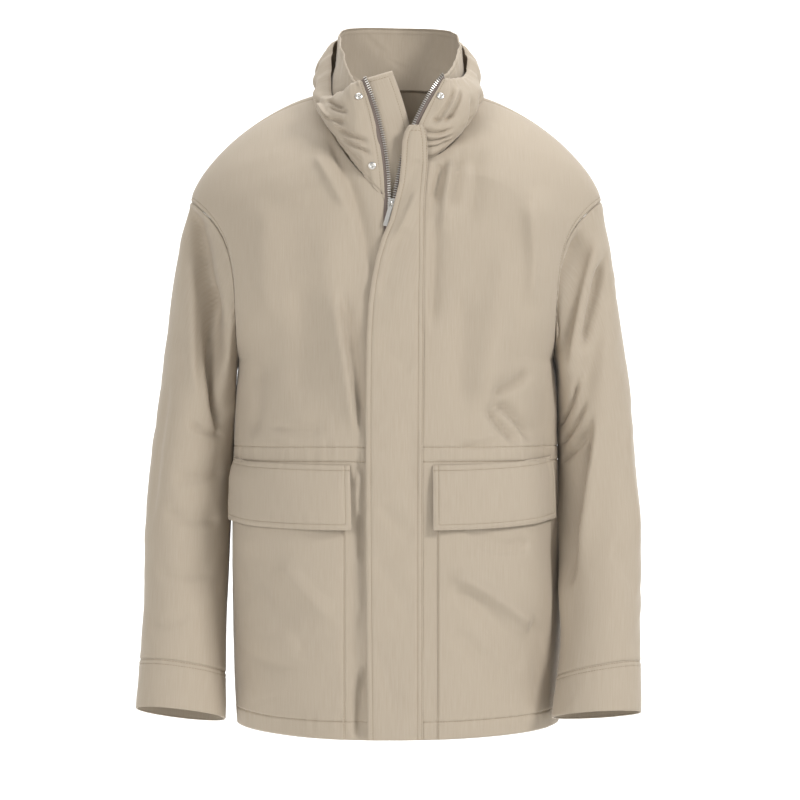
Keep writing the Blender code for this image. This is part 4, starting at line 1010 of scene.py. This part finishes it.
# Creases in the outer wall, laid flat: u is metres along from the right edge, v metres up.
COLLAR_CREASES = table(
    "u0 v0 u1 v1 u2 v2 wide_left wide_right depth",
    [
        (0.078, 0.108, 0.062, 0.094, 0.043, 0.091, 0.002, 0.005, -0.0091),
        (0.069, 0.088, 0.052, 0.080, 0.040, 0.086, 0.003, 0.004, -0.0059),
        (0.092, 0.086, 0.070, 0.060, 0.046, 0.050, 0.005, 0.008, 0.0052),
        (0.086, 0.058, 0.060, 0.056, 0.044, 0.070, 0.003, 0.007, -0.0065),
        (0.062, 0.050, 0.036, 0.044, 0.012, 0.058, 0.003, 0.006, -0.0072),
        (0.058, 0.034, 0.034, 0.030, 0.012, 0.044, 0.003, 0.005, -0.0065),
        (0.085, 0.014, 0.060, 0.020, 0.030, 0.012, 0.003, 0.006, -0.0059),
        (0.095, 0.030, 0.105, 0.070, 0.090, 0.105, 0.005, 0.009, -0.0059),
        (0.118, 0.015, 0.130, 0.050, 0.120, 0.100, 0.005, 0.009, -0.0052),
        (0.150, 0.012, 0.158, 0.050, 0.150, 0.110, 0.006, 0.010, -0.0065),
        (0.185, 0.010, 0.200, 0.050, 0.190, 0.105, 0.006, 0.009, -0.0059),
        (0.230, 0.012, 0.236, 0.048, 0.226, 0.100, 0.006, 0.011, -0.0065),
        (0.275, 0.010, 0.268, 0.050, 0.280, 0.102, 0.006, 0.010, -0.0057),
        (0.318, 0.010, 0.330, 0.052, 0.322, 0.108, 0.006, 0.010, -0.0065),
        (0.360, 0.012, 0.352, 0.050, 0.362, 0.100, 0.006, 0.009, -0.0059),
        (0.395, 0.010, 0.405, 0.050, 0.392, 0.108, 0.005, 0.009, -0.0072),
        (0.420, 0.012, 0.432, 0.045, 0.424, 0.095, 0.005, 0.008, -0.0059),
        (0.440, 0.010, 0.452, 0.040, 0.446, 0.100, 0.004, 0.007, -0.0072),
        (0.514, 0.050, 0.498, 0.038, 0.472, 0.042, 0.003, 0.005, -0.0072),
        (0.514, 0.036, 0.495, 0.024, 0.466, 0.026, 0.003, 0.005, -0.0072),
        (0.512, 0.022, 0.490, 0.012, 0.460, 0.014, 0.003, 0.004, -0.0062),
        (0.508, 0.066, 0.492, 0.060, 0.474, 0.072, 0.003, 0.005, -0.0059),
        (0.468, 0.116, 0.483, 0.086, 0.498, 0.050, 0.0030, 0.0030, 0.0047),
        (0.461, 0.112, 0.475, 0.084, 0.489, 0.054, 0.0025, 0.0040, -0.0052),
        (0.477, 0.116, 0.491, 0.088, 0.505, 0.056, 0.0040, 0.0025, -0.0047),
    ],
)


def bent_wall(seam, mid, top, up):
    """Rows from seam to top edge, on the parabola that passes through the middle one."""
    up = up[:, None, None]
    return seam * (1 - up) * (1 - 2 * up) + mid * 4 * up * (1 - up) + top * up * (2 * up - 1)


def collar_layout(at):
    """The flat layout: metres along from the right edge, and metres up from the seam."""
    along, up = at / 24 * COLLAR_ROUND, COLLAR_UP * COLLAR_HIGH
    return np.stack(np.broadcast_arrays(along[None], up[:, None]), axis=2)


def named_curve(sizes, prefix, at):
    """The smooth curve through a table's x, y and z columns whose names start with prefix."""
    return np.stack([curve(sizes["at"], sizes[prefix + axis], at) for axis in "xyz"], axis=-1)


seam = named_curve(NECK, "", COLLAR_AT)
middle = named_curve(COLLAR, "mid_", COLLAR_AT)
top = named_curve(COLLAR, "top_", COLLAR_AT)
wall = folded(bent_wall(seam, middle, top, COLLAR_UP))
collar_out = outward_normals(wall)
along = distance_along(wall, 1)
height = distance_along(wall, 0)
height = height - height[SEAM_ROW]
flat = collar_layout(COLLAR_AT)
from_top = height[-1:] - height
from_ends = np.minimum(along, along[:, -1:] - along)
depth = crease_depth(flat, COLLAR_CREASES) * smooth_step(from_ends / 0.008)
depth += 0.0014 * rumple(wall, 0.07, 41) * smooth_step(height / 0.02)
depth += 0.0010 * ripple(flat[..., 0] * 0.8, 42) * np.exp(-((height / 0.018) ** 2))
depth += 0.0012 * ripple(flat[..., 0] * 0.6, 43) * np.exp(-((from_top / 0.020) ** 2))
depth += rolled_edge(height) + rolled_edge(from_top, 0.0016, 0.0022)
depth += pulled_in(from_ends, (COLLAR_STITCH,), 0.0006, 0.0012)
collar = wall + collar_out * depth[..., None]
piece = add_cloth("outer_collar", collar, collar_out, flat, COLLAR_CLOTH, ["collar_outer"])
edge_column = np.abs(along[20] - COLLAR_STITCH).argmin()
last_column = np.abs(along[20, -1] - along[20] - COLLAR_STITCH).argmin()
lines = [(collar[6:-3, i], collar_out[6:-3, i]) for i in (edge_column, last_column)]
add_stitches("outer_collar_stitches", lines)

INNER_AT = np.linspace(1.1, 23.2, 185)
foot_out = unit(read_along(INNER_AT, COLLAR_AT, collar_out[0]))
foot_out = unit(foot_out * (1, 1, 0))
foot = named_curve(NECK, "", INNER_AT) - foot_out * INNER_INSET + (0, 0, INNER_FOOT)
top = named_curve(INNER_COLLAR, "top_", INNER_AT)
bow = curve(INNER_COLLAR["at"], INNER_COLLAR["bow"], INNER_AT)[:, None] * foot_out
up = COLLAR_UP[:, None, None]
inner = foot * (1 - up) + top * up + bow * np.sin(math.pi * up)
inner_out = outward_normals(inner)
flat = collar_layout(INNER_AT)
height = distance_along(inner, 0)
height = height - height[SEAM_ROW]
from_top = height[-1:] - height
depth = 0.0011 * ripple(flat[..., 0] * 0.40, 46) * np.exp(-((from_top / 0.030) ** 2))
depth += 0.0013 * rumple(inner, 0.08, 47) + rolled_edge(from_top, 0.0012, 0.0016)
depth += pulled_in(from_top, (0.0060,))
inner = inner + inner_out * depth[..., None]
piece = add_cloth("inner_collar", inner, inner_out, flat, CLOTH, ["collar_inner"])


# ---------------------------------------------------------------------------------------------
# The patch pockets and their flaps. The pockets are large squares of cotton sewn to the fronts
# along their inner edges and into the hem. The flaps above them are double cloth, edge-stitched
# all round and held along the top by a stitched band.

POCKET = {"right": (0.0455, 0.232), "left": (0.0495, 0.220)}
POCKET_TOP, POCKET_OUT, POCKET_BULGE, POCKET_CLOTH = -0.462, 0.0022, 0.0042, 0.0012
POCKET_CLEAR, POCKET_SOFT = 0.0009, 0.0006
FLAP = {"right": (0.0395, 0.231, 0.007), "left": (0.0440, 0.222, 0.010)}
FLAP_TOP, FLAP_BOTTOM = -0.4530, -0.5290
FLAP_ROWS = table("down out", [(0, 0.0030), (0.22, 0.0068), (0.6, 0.0086), (1, 0.0098)])
POCKET_CREASES = {
    "right": table(
        "x0 z0 x1 z1 x2 z2 wide_left wide_right depth",
        [
            (-0.185, -0.550, -0.150, -0.600, -0.115, -0.665, 0.012, 0.020, -0.0059),
            (-0.140, -0.560, -0.110, -0.610, -0.070, -0.640, 0.010, 0.016, 0.0042),
            (-0.125, -0.640, -0.095, -0.690, -0.060, -0.735, 0.010, 0.016, -0.0049),
            (-0.180, -0.680, -0.130, -0.705, -0.080, -0.700, 0.008, 0.012, -0.0042),
        ],
    ),
    "left": table(
        "x0 z0 x1 z1 x2 z2 wide_left wide_right depth",
        [
            (0.080, -0.530, 0.130, -0.572, 0.162, -0.545, 0.004, 0.009, -0.0104),
            (0.058, -0.580, 0.121, -0.606, 0.172, -0.662, 0.008, 0.013, 0.0093),
            (0.062, -0.600, 0.115, -0.632, 0.152, -0.705, 0.009, 0.015, -0.0100),
            (0.058, -0.650, 0.100, -0.678, 0.140, -0.745, 0.009, 0.013, -0.0074),
            (0.160, -0.630, 0.177, -0.695, 0.182, -0.765, 0.008, 0.005, -0.0109),
        ],
    ),
}


def laid_on(side, rows, metres):
    """Points and normals of the finished front at these rows, metres from its centre edge."""
    grid, outward, at = fronts[side]
    r = np.interp(rows, PANEL_ROWS, np.arange(len(PANEL_ROWS)))
    r0 = np.clip(r.astype(int), 0, len(PANEL_ROWS) - 2)
    u = (r - r0)[..., None]
    reach = at[r0, -1] * (1 - u[..., 0]) + at[r0 + 1, -1] * u[..., 0]
    even = (metres - EDGE_BAND) / (reach - 2 * EDGE_BAND) * (PANEL_COLUMNS - 1) + len(BESIDE) - 1
    c0 = np.clip(even.astype(int), 0, grid.shape[1] - 2)
    v = (even - c0)[..., None]

    def read(values):
        """The mean of the four grid values round each place, by how near each of them is."""
        low = values[r0, c0] * (1 - v) + values[r0, c0 + 1] * v
        high = values[r0 + 1, c0] * (1 - v) + values[r0 + 1, c0 + 1] * v
        return low * (1 - u) + high * u

    return read(grid), unit(read(outward))


for side in ("right", "left"):
    near, far = POCKET[side]
    metres = near + places_along(far - near, 70)
    heights = np.concatenate(
        [
            HEM_Z + np.array([0, 0.0008, 0.0018, 0.0032]),
            np.linspace(HEM_Z + 0.005, POCKET_TOP, 108),
            HEM_Z + HEM_STITCH + LINE_OFFSETS,
        ]
    )
    heights = np.unique(np.round(heights, 5))
    rows, columns = np.meshgrid(skirt_row(heights), metres, indexing="ij")
    points, outward = laid_on(side, rows, columns)
    up = (rows - rows[:1]) / (rows[-1:] - rows[:1])
    away = np.minimum(columns - near, far - columns)
    middle = np.sin(math.pi * (columns - near) / (far - near))
    lift = POCKET_OUT - 0.0004 + POCKET_BULGE * middle * np.sin(math.pi * up)
    lift += crease_depth(points[..., [0, 2]], POCKET_CREASES[side]) * smooth_step(away / 0.02)
    lift += 0.0009 * rumple(points, 0.11, 51) * smooth_step(away / 0.02)
    lift -= 0.0011 * crinkle(points, 0.11, 58) * smooth_step(away / 0.02)
    lift = POCKET_CLEAR + POCKET_SOFT * np.logaddexp(0, (lift - POCKET_CLEAR) / POCKET_SOFT)
    lift += rolled_edge(away, 0.0014, 0.0012) + rolled_edge(up * 0.31, 0.0008, 0.0012)
    lift += pulled_in(away, (EDGE_STITCH,), 0.0005)
    above = (heights - HEM_Z - HEM_STITCH)[:, None]
    lift += pulled_in(above, (0.0,))
    lift += 0.0005 * ripple(columns, 52) * np.exp(-((above / 0.010) ** 2))
    grid = points + outward * lift[..., None]
    piece = add_cloth(side + "_pocket", grid, outward, grain(grid), POCKET_CLOTH, ["pocket_" + side])
    hem_row = np.abs(heights - HEM_Z - HEM_STITCH).argmin()
    lines = [(grid[:, 2], outward[:, 2]), (grid[:, -3], outward[:, -3])]
    lines.append((grid[hem_row], outward[hem_row]))
    add_stitches(side + "_pocket_stitches", lines)

    near, far, rise = FLAP[side]
    metres = near + places_along(far - near, 66)
    long = FLAP_TOP - FLAP_BOTTOM
    down = places_along(long, 30)[:, None]
    across = (metres - near) / (far - near)
    z = FLAP_TOP - down + rise * across**2
    columns = np.broadcast_to(metres, z.shape)
    points, outward = laid_on(side, skirt_row(z), columns)
    away = np.minimum(np.minimum(columns - near, far - columns), long - down)
    lift = curve(FLAP_ROWS["down"], FLAP_ROWS["out"], down / long) + 0 * away
    lift += 0.0008 * rumple(points, 0.09, 55 + len(side)) * smooth_step(down / 0.02)
    lift += rolled_edge(away, 0.0010, 0.0012)
    lift += pulled_in(away, (EDGE_STITCH, SECOND_STITCH), 0.0006)
    lift += pulled_in(down, (SECOND_STITCH,), 0.0008)
    lift += 0.0003 * ripple(columns, 56) * (away < 0.02)
    grid = points + outward * lift[..., None]
    piece = add_cloth(side + "_flap", grid, outward, grain(grid), DOUBLE_CLOTH, ["pocket_flap_" + side])
    lines = [
        (grid[:-7, 7], outward[:-7, 7]),
        (grid[:-7, -8], outward[:-7, -8]),
        (grid[-8, 7:-7], outward[-8, 7:-7]),
        (grid[7], outward[7]),
    ]
    add_stitches(side + "_flap_stitches", lines)


# ---------------------------------------------------------------------------------------------
# The storm flap. Double cloth from the collar to the hem, sewn to the left front with two lines
# of stitches and lying free over the zip. Its free edge and its rounded top are topstitched.

STORM_FLAP = table(
    "z free_x free_y sewn_x sewn_y",
    [
        (-0.0440, 0.0160, -0.1232, 0.0345, -0.1196),
        (-0.0520, 0.0105, -0.1244, 0.0365, -0.1203),
        (-0.0650, 0.0075, -0.1260, 0.0385, -0.1198),
        (-0.0900, 0.0062, -0.1268, 0.0390, -0.1229),
        (-0.1120, 0.0040, -0.1309, 0.0370, -0.1270),
        (-0.1280, 0.0005, -0.1338, 0.0355, -0.1299),
        (-0.1600, -0.0078, -0.1388, 0.0345, -0.1350),
        (-0.1800, -0.0165, -0.1414, 0.0345, -0.1378),
        (-0.2050, -0.0240, -0.1445, 0.0345, -0.1409),
        (-0.2310, -0.0290, -0.1475, 0.0340, -0.1434),
        (-0.2620, -0.0330, -0.1503, 0.0335, -0.1456),
        (-0.3000, -0.0350, -0.1517, 0.0335, -0.1468),
        (-0.3686, -0.0360, -0.1531, 0.0331, -0.1479),
        (-0.4371, -0.0361, -0.1516, 0.0328, -0.1478),
        (-0.5057, -0.0360, -0.1521, 0.0325, -0.1510),
        (-0.5743, -0.0355, -0.1540, 0.0325, -0.1524),
        (-0.6429, -0.0350, -0.1548, 0.0325, -0.1527),
        (-0.7114, -0.0343, -0.1539, 0.0325, -0.1523),
        (-0.7800, -0.0335, -0.1553, 0.0325, -0.1510),
    ],
)
STORM_BULGE = 0.0010
STORM_CREASES = table(
    "x0 z0 x1 z1 x2 z2 wide_left wide_right depth",
    [
        (0.030, -0.085, 0.017, -0.105, -0.001, -0.155, 0.006, 0.009, -0.0065),
        (0.026, -0.120, 0.016, -0.150, -0.004, -0.190, 0.006, 0.010, 0.0039),
        (0.014, -0.165, -0.006, -0.200, -0.018, -0.260, 0.006, 0.011, -0.0049),
        (0.016, -0.390, 0.018, -0.450, 0.018, -0.505, 0.009, 0.010, -0.0052),
        (-0.022, -0.495, 0.000, -0.528, 0.022, -0.545, 0.007, 0.011, -0.0036),
        (-0.026, -0.560, -0.004, -0.590, 0.020, -0.640, 0.008, 0.012, -0.0034),
        (-0.020, -0.300, -0.002, -0.330, 0.020, -0.340, 0.008, 0.012, -0.0031),
        (-0.028, -0.660, -0.010, -0.700, 0.000, -0.760, 0.008, 0.012, -0.0039),
    ],
)
run = np.concatenate(
    [
        -0.044 - np.array([0, 0.0008, 0.0018, 0.003, 0.0045, 0.0058, 0.0072]),
        np.linspace(-0.053, -0.776, 225),
        [-0.7775, -0.7788, -0.7795, -0.78],
    ]
)
part = {name: np.interp(-run, -STORM_FLAP["z"], STORM_FLAP[name])[:, None] for name in STORM_FLAP}
wide = part["sewn_x"] - part["free_x"]
share, metres = places_across(24)
from_free = np.maximum(share * wide + metres, 0)
across = from_free / wide
bulge = STORM_BULGE * np.sin(math.pi * across)
y = part["free_y"] + (part["sewn_y"] - part["free_y"]) * across - bulge
grid = np.stack([part["free_x"] + from_free, y, run[:, None] + 0 * y], axis=2)
outward = outward_normals(grid)
outward *= np.sign((outward * (0, -1, 0)).sum())
down = distance_along(grid, 0)
from_sewn = wide - from_free
lift = 0.0012 * rumple(grid, 0.20, 61) * smooth_step(from_sewn / 0.02)
lift += crease_depth(grid[..., [0, 2]], STORM_CREASES) * smooth_step(from_sewn / 0.012)
lift += 0.0014 * ripple(down * 0.22, 62) * (1 - across) ** 2
lift += 0.0004 * ripple(down, 63) * np.exp(-((from_sewn / 0.01) ** 2))
lift = np.maximum(lift, -0.0016) + 0.35 * np.minimum(lift + 0.0016, 0)
lift += 0.0012 * np.sin(math.pi * across)
lift += rolled_edge(from_free, 0.0010) + rolled_edge(from_sewn, 0.0014) + rolled_edge(down, 0.0008)
lift += pulled_in(from_free, (SECOND_STITCH,), 0.0006)
lift += pulled_in(from_sewn, (EDGE_STITCH, SECOND_STITCH), 0.0008)
grid = grid + outward * lift[..., None]
uv = np.stack([from_free, run[:, None] + 0 * y], axis=-1)
piece = add_cloth("storm_flap_cloth", grid, outward, uv, DOUBLE_CLOTH, ["storm_flap"])
lines = [
    (grid[6:, 7], outward[6:, 7]),
    (grid[:, -8], outward[:, -8]),
    (grid[:, -3], outward[:, -3]),
    (grid[6, 7:-7], outward[6, 7:-7]),
]
add_stitches("storm_flap_stitches", lines)


# ---------------------------------------------------------------------------------------------
# The zip guard. A double strip of cotton behind the zip, sewn inside the right front's edge. It
# stands up past the open zip with a rounded top corner.

GUARD_FREE, GUARD_CLOTH = 0.042, 0.0016
GUARD = table(
    "across behind",
    [(-0.010, 0.0052), (-0.003, 0.0044), (0.007, 0.0050), (0.024, 0.0065), (GUARD_FREE, 0.0085)],
)


def zip_edge(side):
    """The edge that the zip is sewn to, hem to collar top: its points, and the ways out of the
    cloth and across it. The way out is a mean over 25 points, weighted as a Hann window."""
    rows = np.linspace(0, 18, 260)
    edge = half_panel(side, -1, rows, np.array([0.0, 0.0]), np.array([0.0, 0.02]))[0]
    column = 0 if side == "right" else -1
    up = np.linspace(0, 1, 90)[1:]
    ends = [
        named_curve(NECK, "", COLLAR_AT[[column]]),
        named_curve(COLLAR, "mid_", COLLAR_AT[[column]]),
        named_curve(COLLAR, "top_", COLLAR_AT[[column]]),
    ]
    points = np.concatenate([edge[:, 0], bent_wall(*ends, up)[:, 0]])
    collar_side = read_along(up, COLLAR_UP, collar_out[:, column])
    panel_side = outward_normals(edge)[:, 0]
    out = np.concatenate([panel_side, collar_side])
    spread = smooth_step((points[:, 2] + 0.147) / 0.019)
    out = unit(out * np.stack([spread, 1 + 0 * spread, 1 + 0 * spread], axis=1))
    kernel = np.hanning(25) / np.hanning(25).sum()
    padded = np.pad(out, ((12, 12), (0, 0)), mode="edge")
    smoothed = [np.convolve(padded[:, axis], kernel, mode="valid") for axis in range(3)]
    out = unit(np.stack(smoothed, axis=1))
    across = unit(np.cross(out, np.gradient(points, axis=0)))
    return points, out, across if side == "left" else -across


edges = {side: zip_edge(side) for side in ("right", "left")}
points, out, across = edges["right"]
level = unit(out + edges["left"][1][: len(out)])
straight = unit(np.cross(np.gradient(points, axis=0), level))
straight *= np.sign((straight * across).sum())
steps = np.concatenate([np.linspace(-0.010, -0.003, 6), np.linspace(-0.001, GUARD_FREE, 26)])
behind = curve(GUARD["across"], GUARD["behind"], steps)
sewn = smooth_step((steps + 0.003) / 0.006)[None, :, None]
side_way = across[:, None] * (1 - sewn) + straight[:, None] * sewn
out_way = out[:, None] * (1 - sewn) + level[:, None] * sewn
grid = points[:, None] + side_way * steps[:, None] - out_way * behind[:, None]
outward = unit(out_way + 0 * grid)
along = distance_along(grid, 0)
from_free = (GUARD_FREE - steps)[None]
from_top = along[-1:] - along
lift = 0.0011 * rumple(grid, 0.12, 71) * smooth_step(from_free / 0.01)
lift += rolled_edge(from_free, 0.0008) + rolled_edge(from_top, 0.0008)
lift += pulled_in(from_top, (0.0064,)) + pulled_in(from_free, (0.0064,), 0.0006, 0.0014)
grid = grid + outward * lift[..., None]
uv = np.stack([steps[None] + 0 * along, along], axis=-1)
piece = add_cloth("zip_guard_cloth", grid, outward, uv, GUARD_CLOTH, ["zip_guard"])
top_row = np.abs(from_top[:, -1] - SECOND_STITCH).argmin()
free_column = np.abs(from_free[0] - SECOND_STITCH).argmin()
lines = [
    (grid[:top_row, free_column], outward[:top_row, free_column]),
    (grid[top_row, 8 : free_column + 1], outward[top_row, 8 : free_column + 1]),
]
add_stitches("zip_guard_stitches", lines)


# ---------------------------------------------------------------------------------------------
# The zip. Two woven tapes sewn to the edges of the fronts and the collar, with a cord of metal
# teeth on each: nickel-plated brass, 2.9 mm from tooth to tooth. Above the slider the two
# halves part. Below it the teeth of one side sit between those of the other.

TOOTH_PITCH = 0.0029
TEETH_FROM, TEETH_TO = 0.0036, 0.0084
TOOTH_LONG, TOOTH_HIGH = 0.00135, 0.0026
TAPE_OUT, TAPE_CLOTH, TAPE_RIB = 0.0066, 0.0007, 0.0012

tape, tree, shader = new_finish("woven_zip_tape", "#6F6059", Roughness=0.9, Sheen_Weight=0.2)
place = add(tree, "UVMap", uv_map="cloth").outputs["UV"]
along_tape = {"Vector": place, "Scale": math.pi / (10 * TAPE_RIB)}
ribs = add(tree, "TexWave", along_tape, bands_direction="Y")
shade = add(tree, "MixRGB", {0: ribs.outputs[1], 1: linear("#5E514B"), 2: linear("#857870")})
relief = add(tree, "Bump", {"Strength": 0.4, "Distance": 0.0003, "Height": ribs.outputs[1]})
tree.links.new(shade.outputs[0], shader.inputs["Base Color"])
tree.links.new(relief.outputs[0], shader.inputs["Normal"])

# Nickel plate over brass, polished by use: bright, a little warm, with fine scratches.
nickel, tree, shader = new_finish("nickel_plated_brass", "#D6D3CD", Metallic=1.0, Roughness=0.36)
place = add(tree, "TexCoord").outputs["Object"]
scratch = add(tree, "TexNoise", {"Vector": place, "Scale": 900.0, "Detail": 2.0})
worn = add(tree, "MapRange", {0: scratch.outputs[0], 3: 0.30, 4: 0.48})
tree.links.new(worn.outputs[0], shader.inputs["Roughness"])

for side, shift in (("right", 0.0), ("left", 0.5)):
    points, out, across = edges[side]
    steps = np.array([-0.004, 0.0, 0.002, 0.004, 0.0055, TAPE_OUT])
    lift = np.array([-0.0016, -0.0012, -0.0009, -0.0009, -0.0009, -0.0010])
    grid = points[:, None] + across[:, None] * steps[:, None] + out[:, None] * lift[:, None]
    outward = np.broadcast_to(out[:, None], grid.shape)
    along = distance_along(grid, 0)
    uv = np.stack([steps[None] + 0 * along, along], axis=-1)
    piece = add_cloth(
        side + "_zip_tape", grid, outward, uv, TAPE_CLOTH, ["zip_tape_" + side], finish=tape
    )

    run = distance_along((points + across * 0.006)[None], 1)[0]
    at = (np.arange(int(run[-1] / TOOTH_PITCH) - 3) + shift) * TOOTH_PITCH + 0.012
    base, face, way = (read_along(at, run, values) for values in (points, out, across))
    face, way = unit(face), unit(way)
    climb = np.cross(face, way)
    # Each tooth: a block that is broad on the tape and narrows to a rounded nose.
    outline = np.array(
        [[0, -1.0], [0.55, -0.8], [0.86, -0.55], [1, 0], [0.86, 0.55], [0.55, 0.8], [0, 1.0]]
    )
    reach = TEETH_FROM + (TEETH_TO - TEETH_FROM) * outline[:, 0]
    half = TOOTH_LONG / 2 * outline[:, 1]
    middle_line = base[:, None] + way[:, None] * reach[:, None] + climb[:, None] * half[:, None]
    levels = np.array([-0.5, -0.32, 0.32, 0.5]) * TOOTH_HIGH - 0.0004
    shrink = np.array([0.86, 1.0, 1.0, 0.86])
    centre = base + way * (TEETH_FROM + TEETH_TO) / 2
    rings = centre[:, None, None] + (middle_line - centre[:, None])[:, None] * shrink[:, None, None]
    rings = rings + face[:, None, None] * levels[:, None, None]
    count = len(outline)
    first = (np.arange(3)[:, None] * count + np.arange(count)).ravel()
    after = (np.arange(3)[:, None] * count + (np.arange(count) + 1) % count).ravel()
    walls = np.stack([first, first + count, after + count, after], axis=1)
    caps = np.array([np.arange(count)[::-1], np.arange(count) + 3 * count])
    starts = np.arange(len(at))[:, None, None] * 4 * count
    turned = (np.cross(climb, way) * face).sum() > 0
    walls, caps = (walls[:, ::-1], caps[:, ::-1]) if turned else (walls, caps)
    faces = (walls[None] + starts).reshape(-1, 4).tolist()
    faces += (caps[None] + starts).reshape(-1, count).tolist()
    mesh = bpy.data.meshes.new(side + "_teeth")
    mesh.from_pydata(rings.reshape(-1, 3).tolist(), [], faces)
    piece = add_object(side + "_zip_teeth", mesh, nickel)
    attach(piece, "jacket")
    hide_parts("zip_teeth_" + side)

# The slider and its pull tab are cast and stamped metal, and keep their solids' own shapes.
for node in ("zip_slider", "zip_pull"):
    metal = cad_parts[node]
    metal.data.materials.clear()
    metal.data.materials.append(nickel)


# ---------------------------------------------------------------------------------------------
# The snap sockets. Pressed brass rings with a dished middle and a ball spring, riveted through
# the collar: two on the wearer's right and one on the left.

SNAPS = table("number at up", [(1, 0.80, 0.84), (2, 0.78, 0.19), (3, 23.4, 0.78)])
SNAP_PROFILE = table(
    "radius high",
    [
        (0.0000, 0.0004), (0.0010, 0.0004), (0.0016, 0.0006), (0.0020, 0.0016), (0.0024, 0.0019),
        (0.0029, 0.0018), (0.0033, 0.0013), (0.0038, 0.0011), (0.0042, 0.0010), (0.0045, 0.0007),
        (0.0046, 0.0002), (0.0043, -0.0006),
    ],
)
round_it = np.arange(40) * 2 * math.pi / 40
for number, at, up in zip(*SNAPS.values()):
    row = int(np.interp(up, COLLAR_UP, np.arange(len(COLLAR_UP))))
    column = np.abs(COLLAR_AT - at).argmin()
    place = collar[row, column]
    out = unit(collar_out[row, column])
    side = unit(np.cross(out, (0, 0, 1)))
    up_way = np.cross(side, out)
    ring = side * np.cos(round_it)[:, None] + up_way * np.sin(round_it)[:, None]
    grid = place + ring * SNAP_PROFILE["radius"][:, None, None]
    grid = grid + out * (SNAP_PROFILE["high"] + 0.0003)[:, None, None]
    outward = np.broadcast_to(out, grid.shape)
    name = f"snap_socket_{int(number)}"
    mesh = grid_mesh(name, grid, outward, closed=True)
    piece = add_object(name, mesh, nickel)
    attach(piece, "jacket")
    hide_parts(f"snap_{int(number)}")


low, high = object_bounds()
boxes = {"cad": [list(cad_low), list(cad_high)], "visual": [list(low), list(high)]}
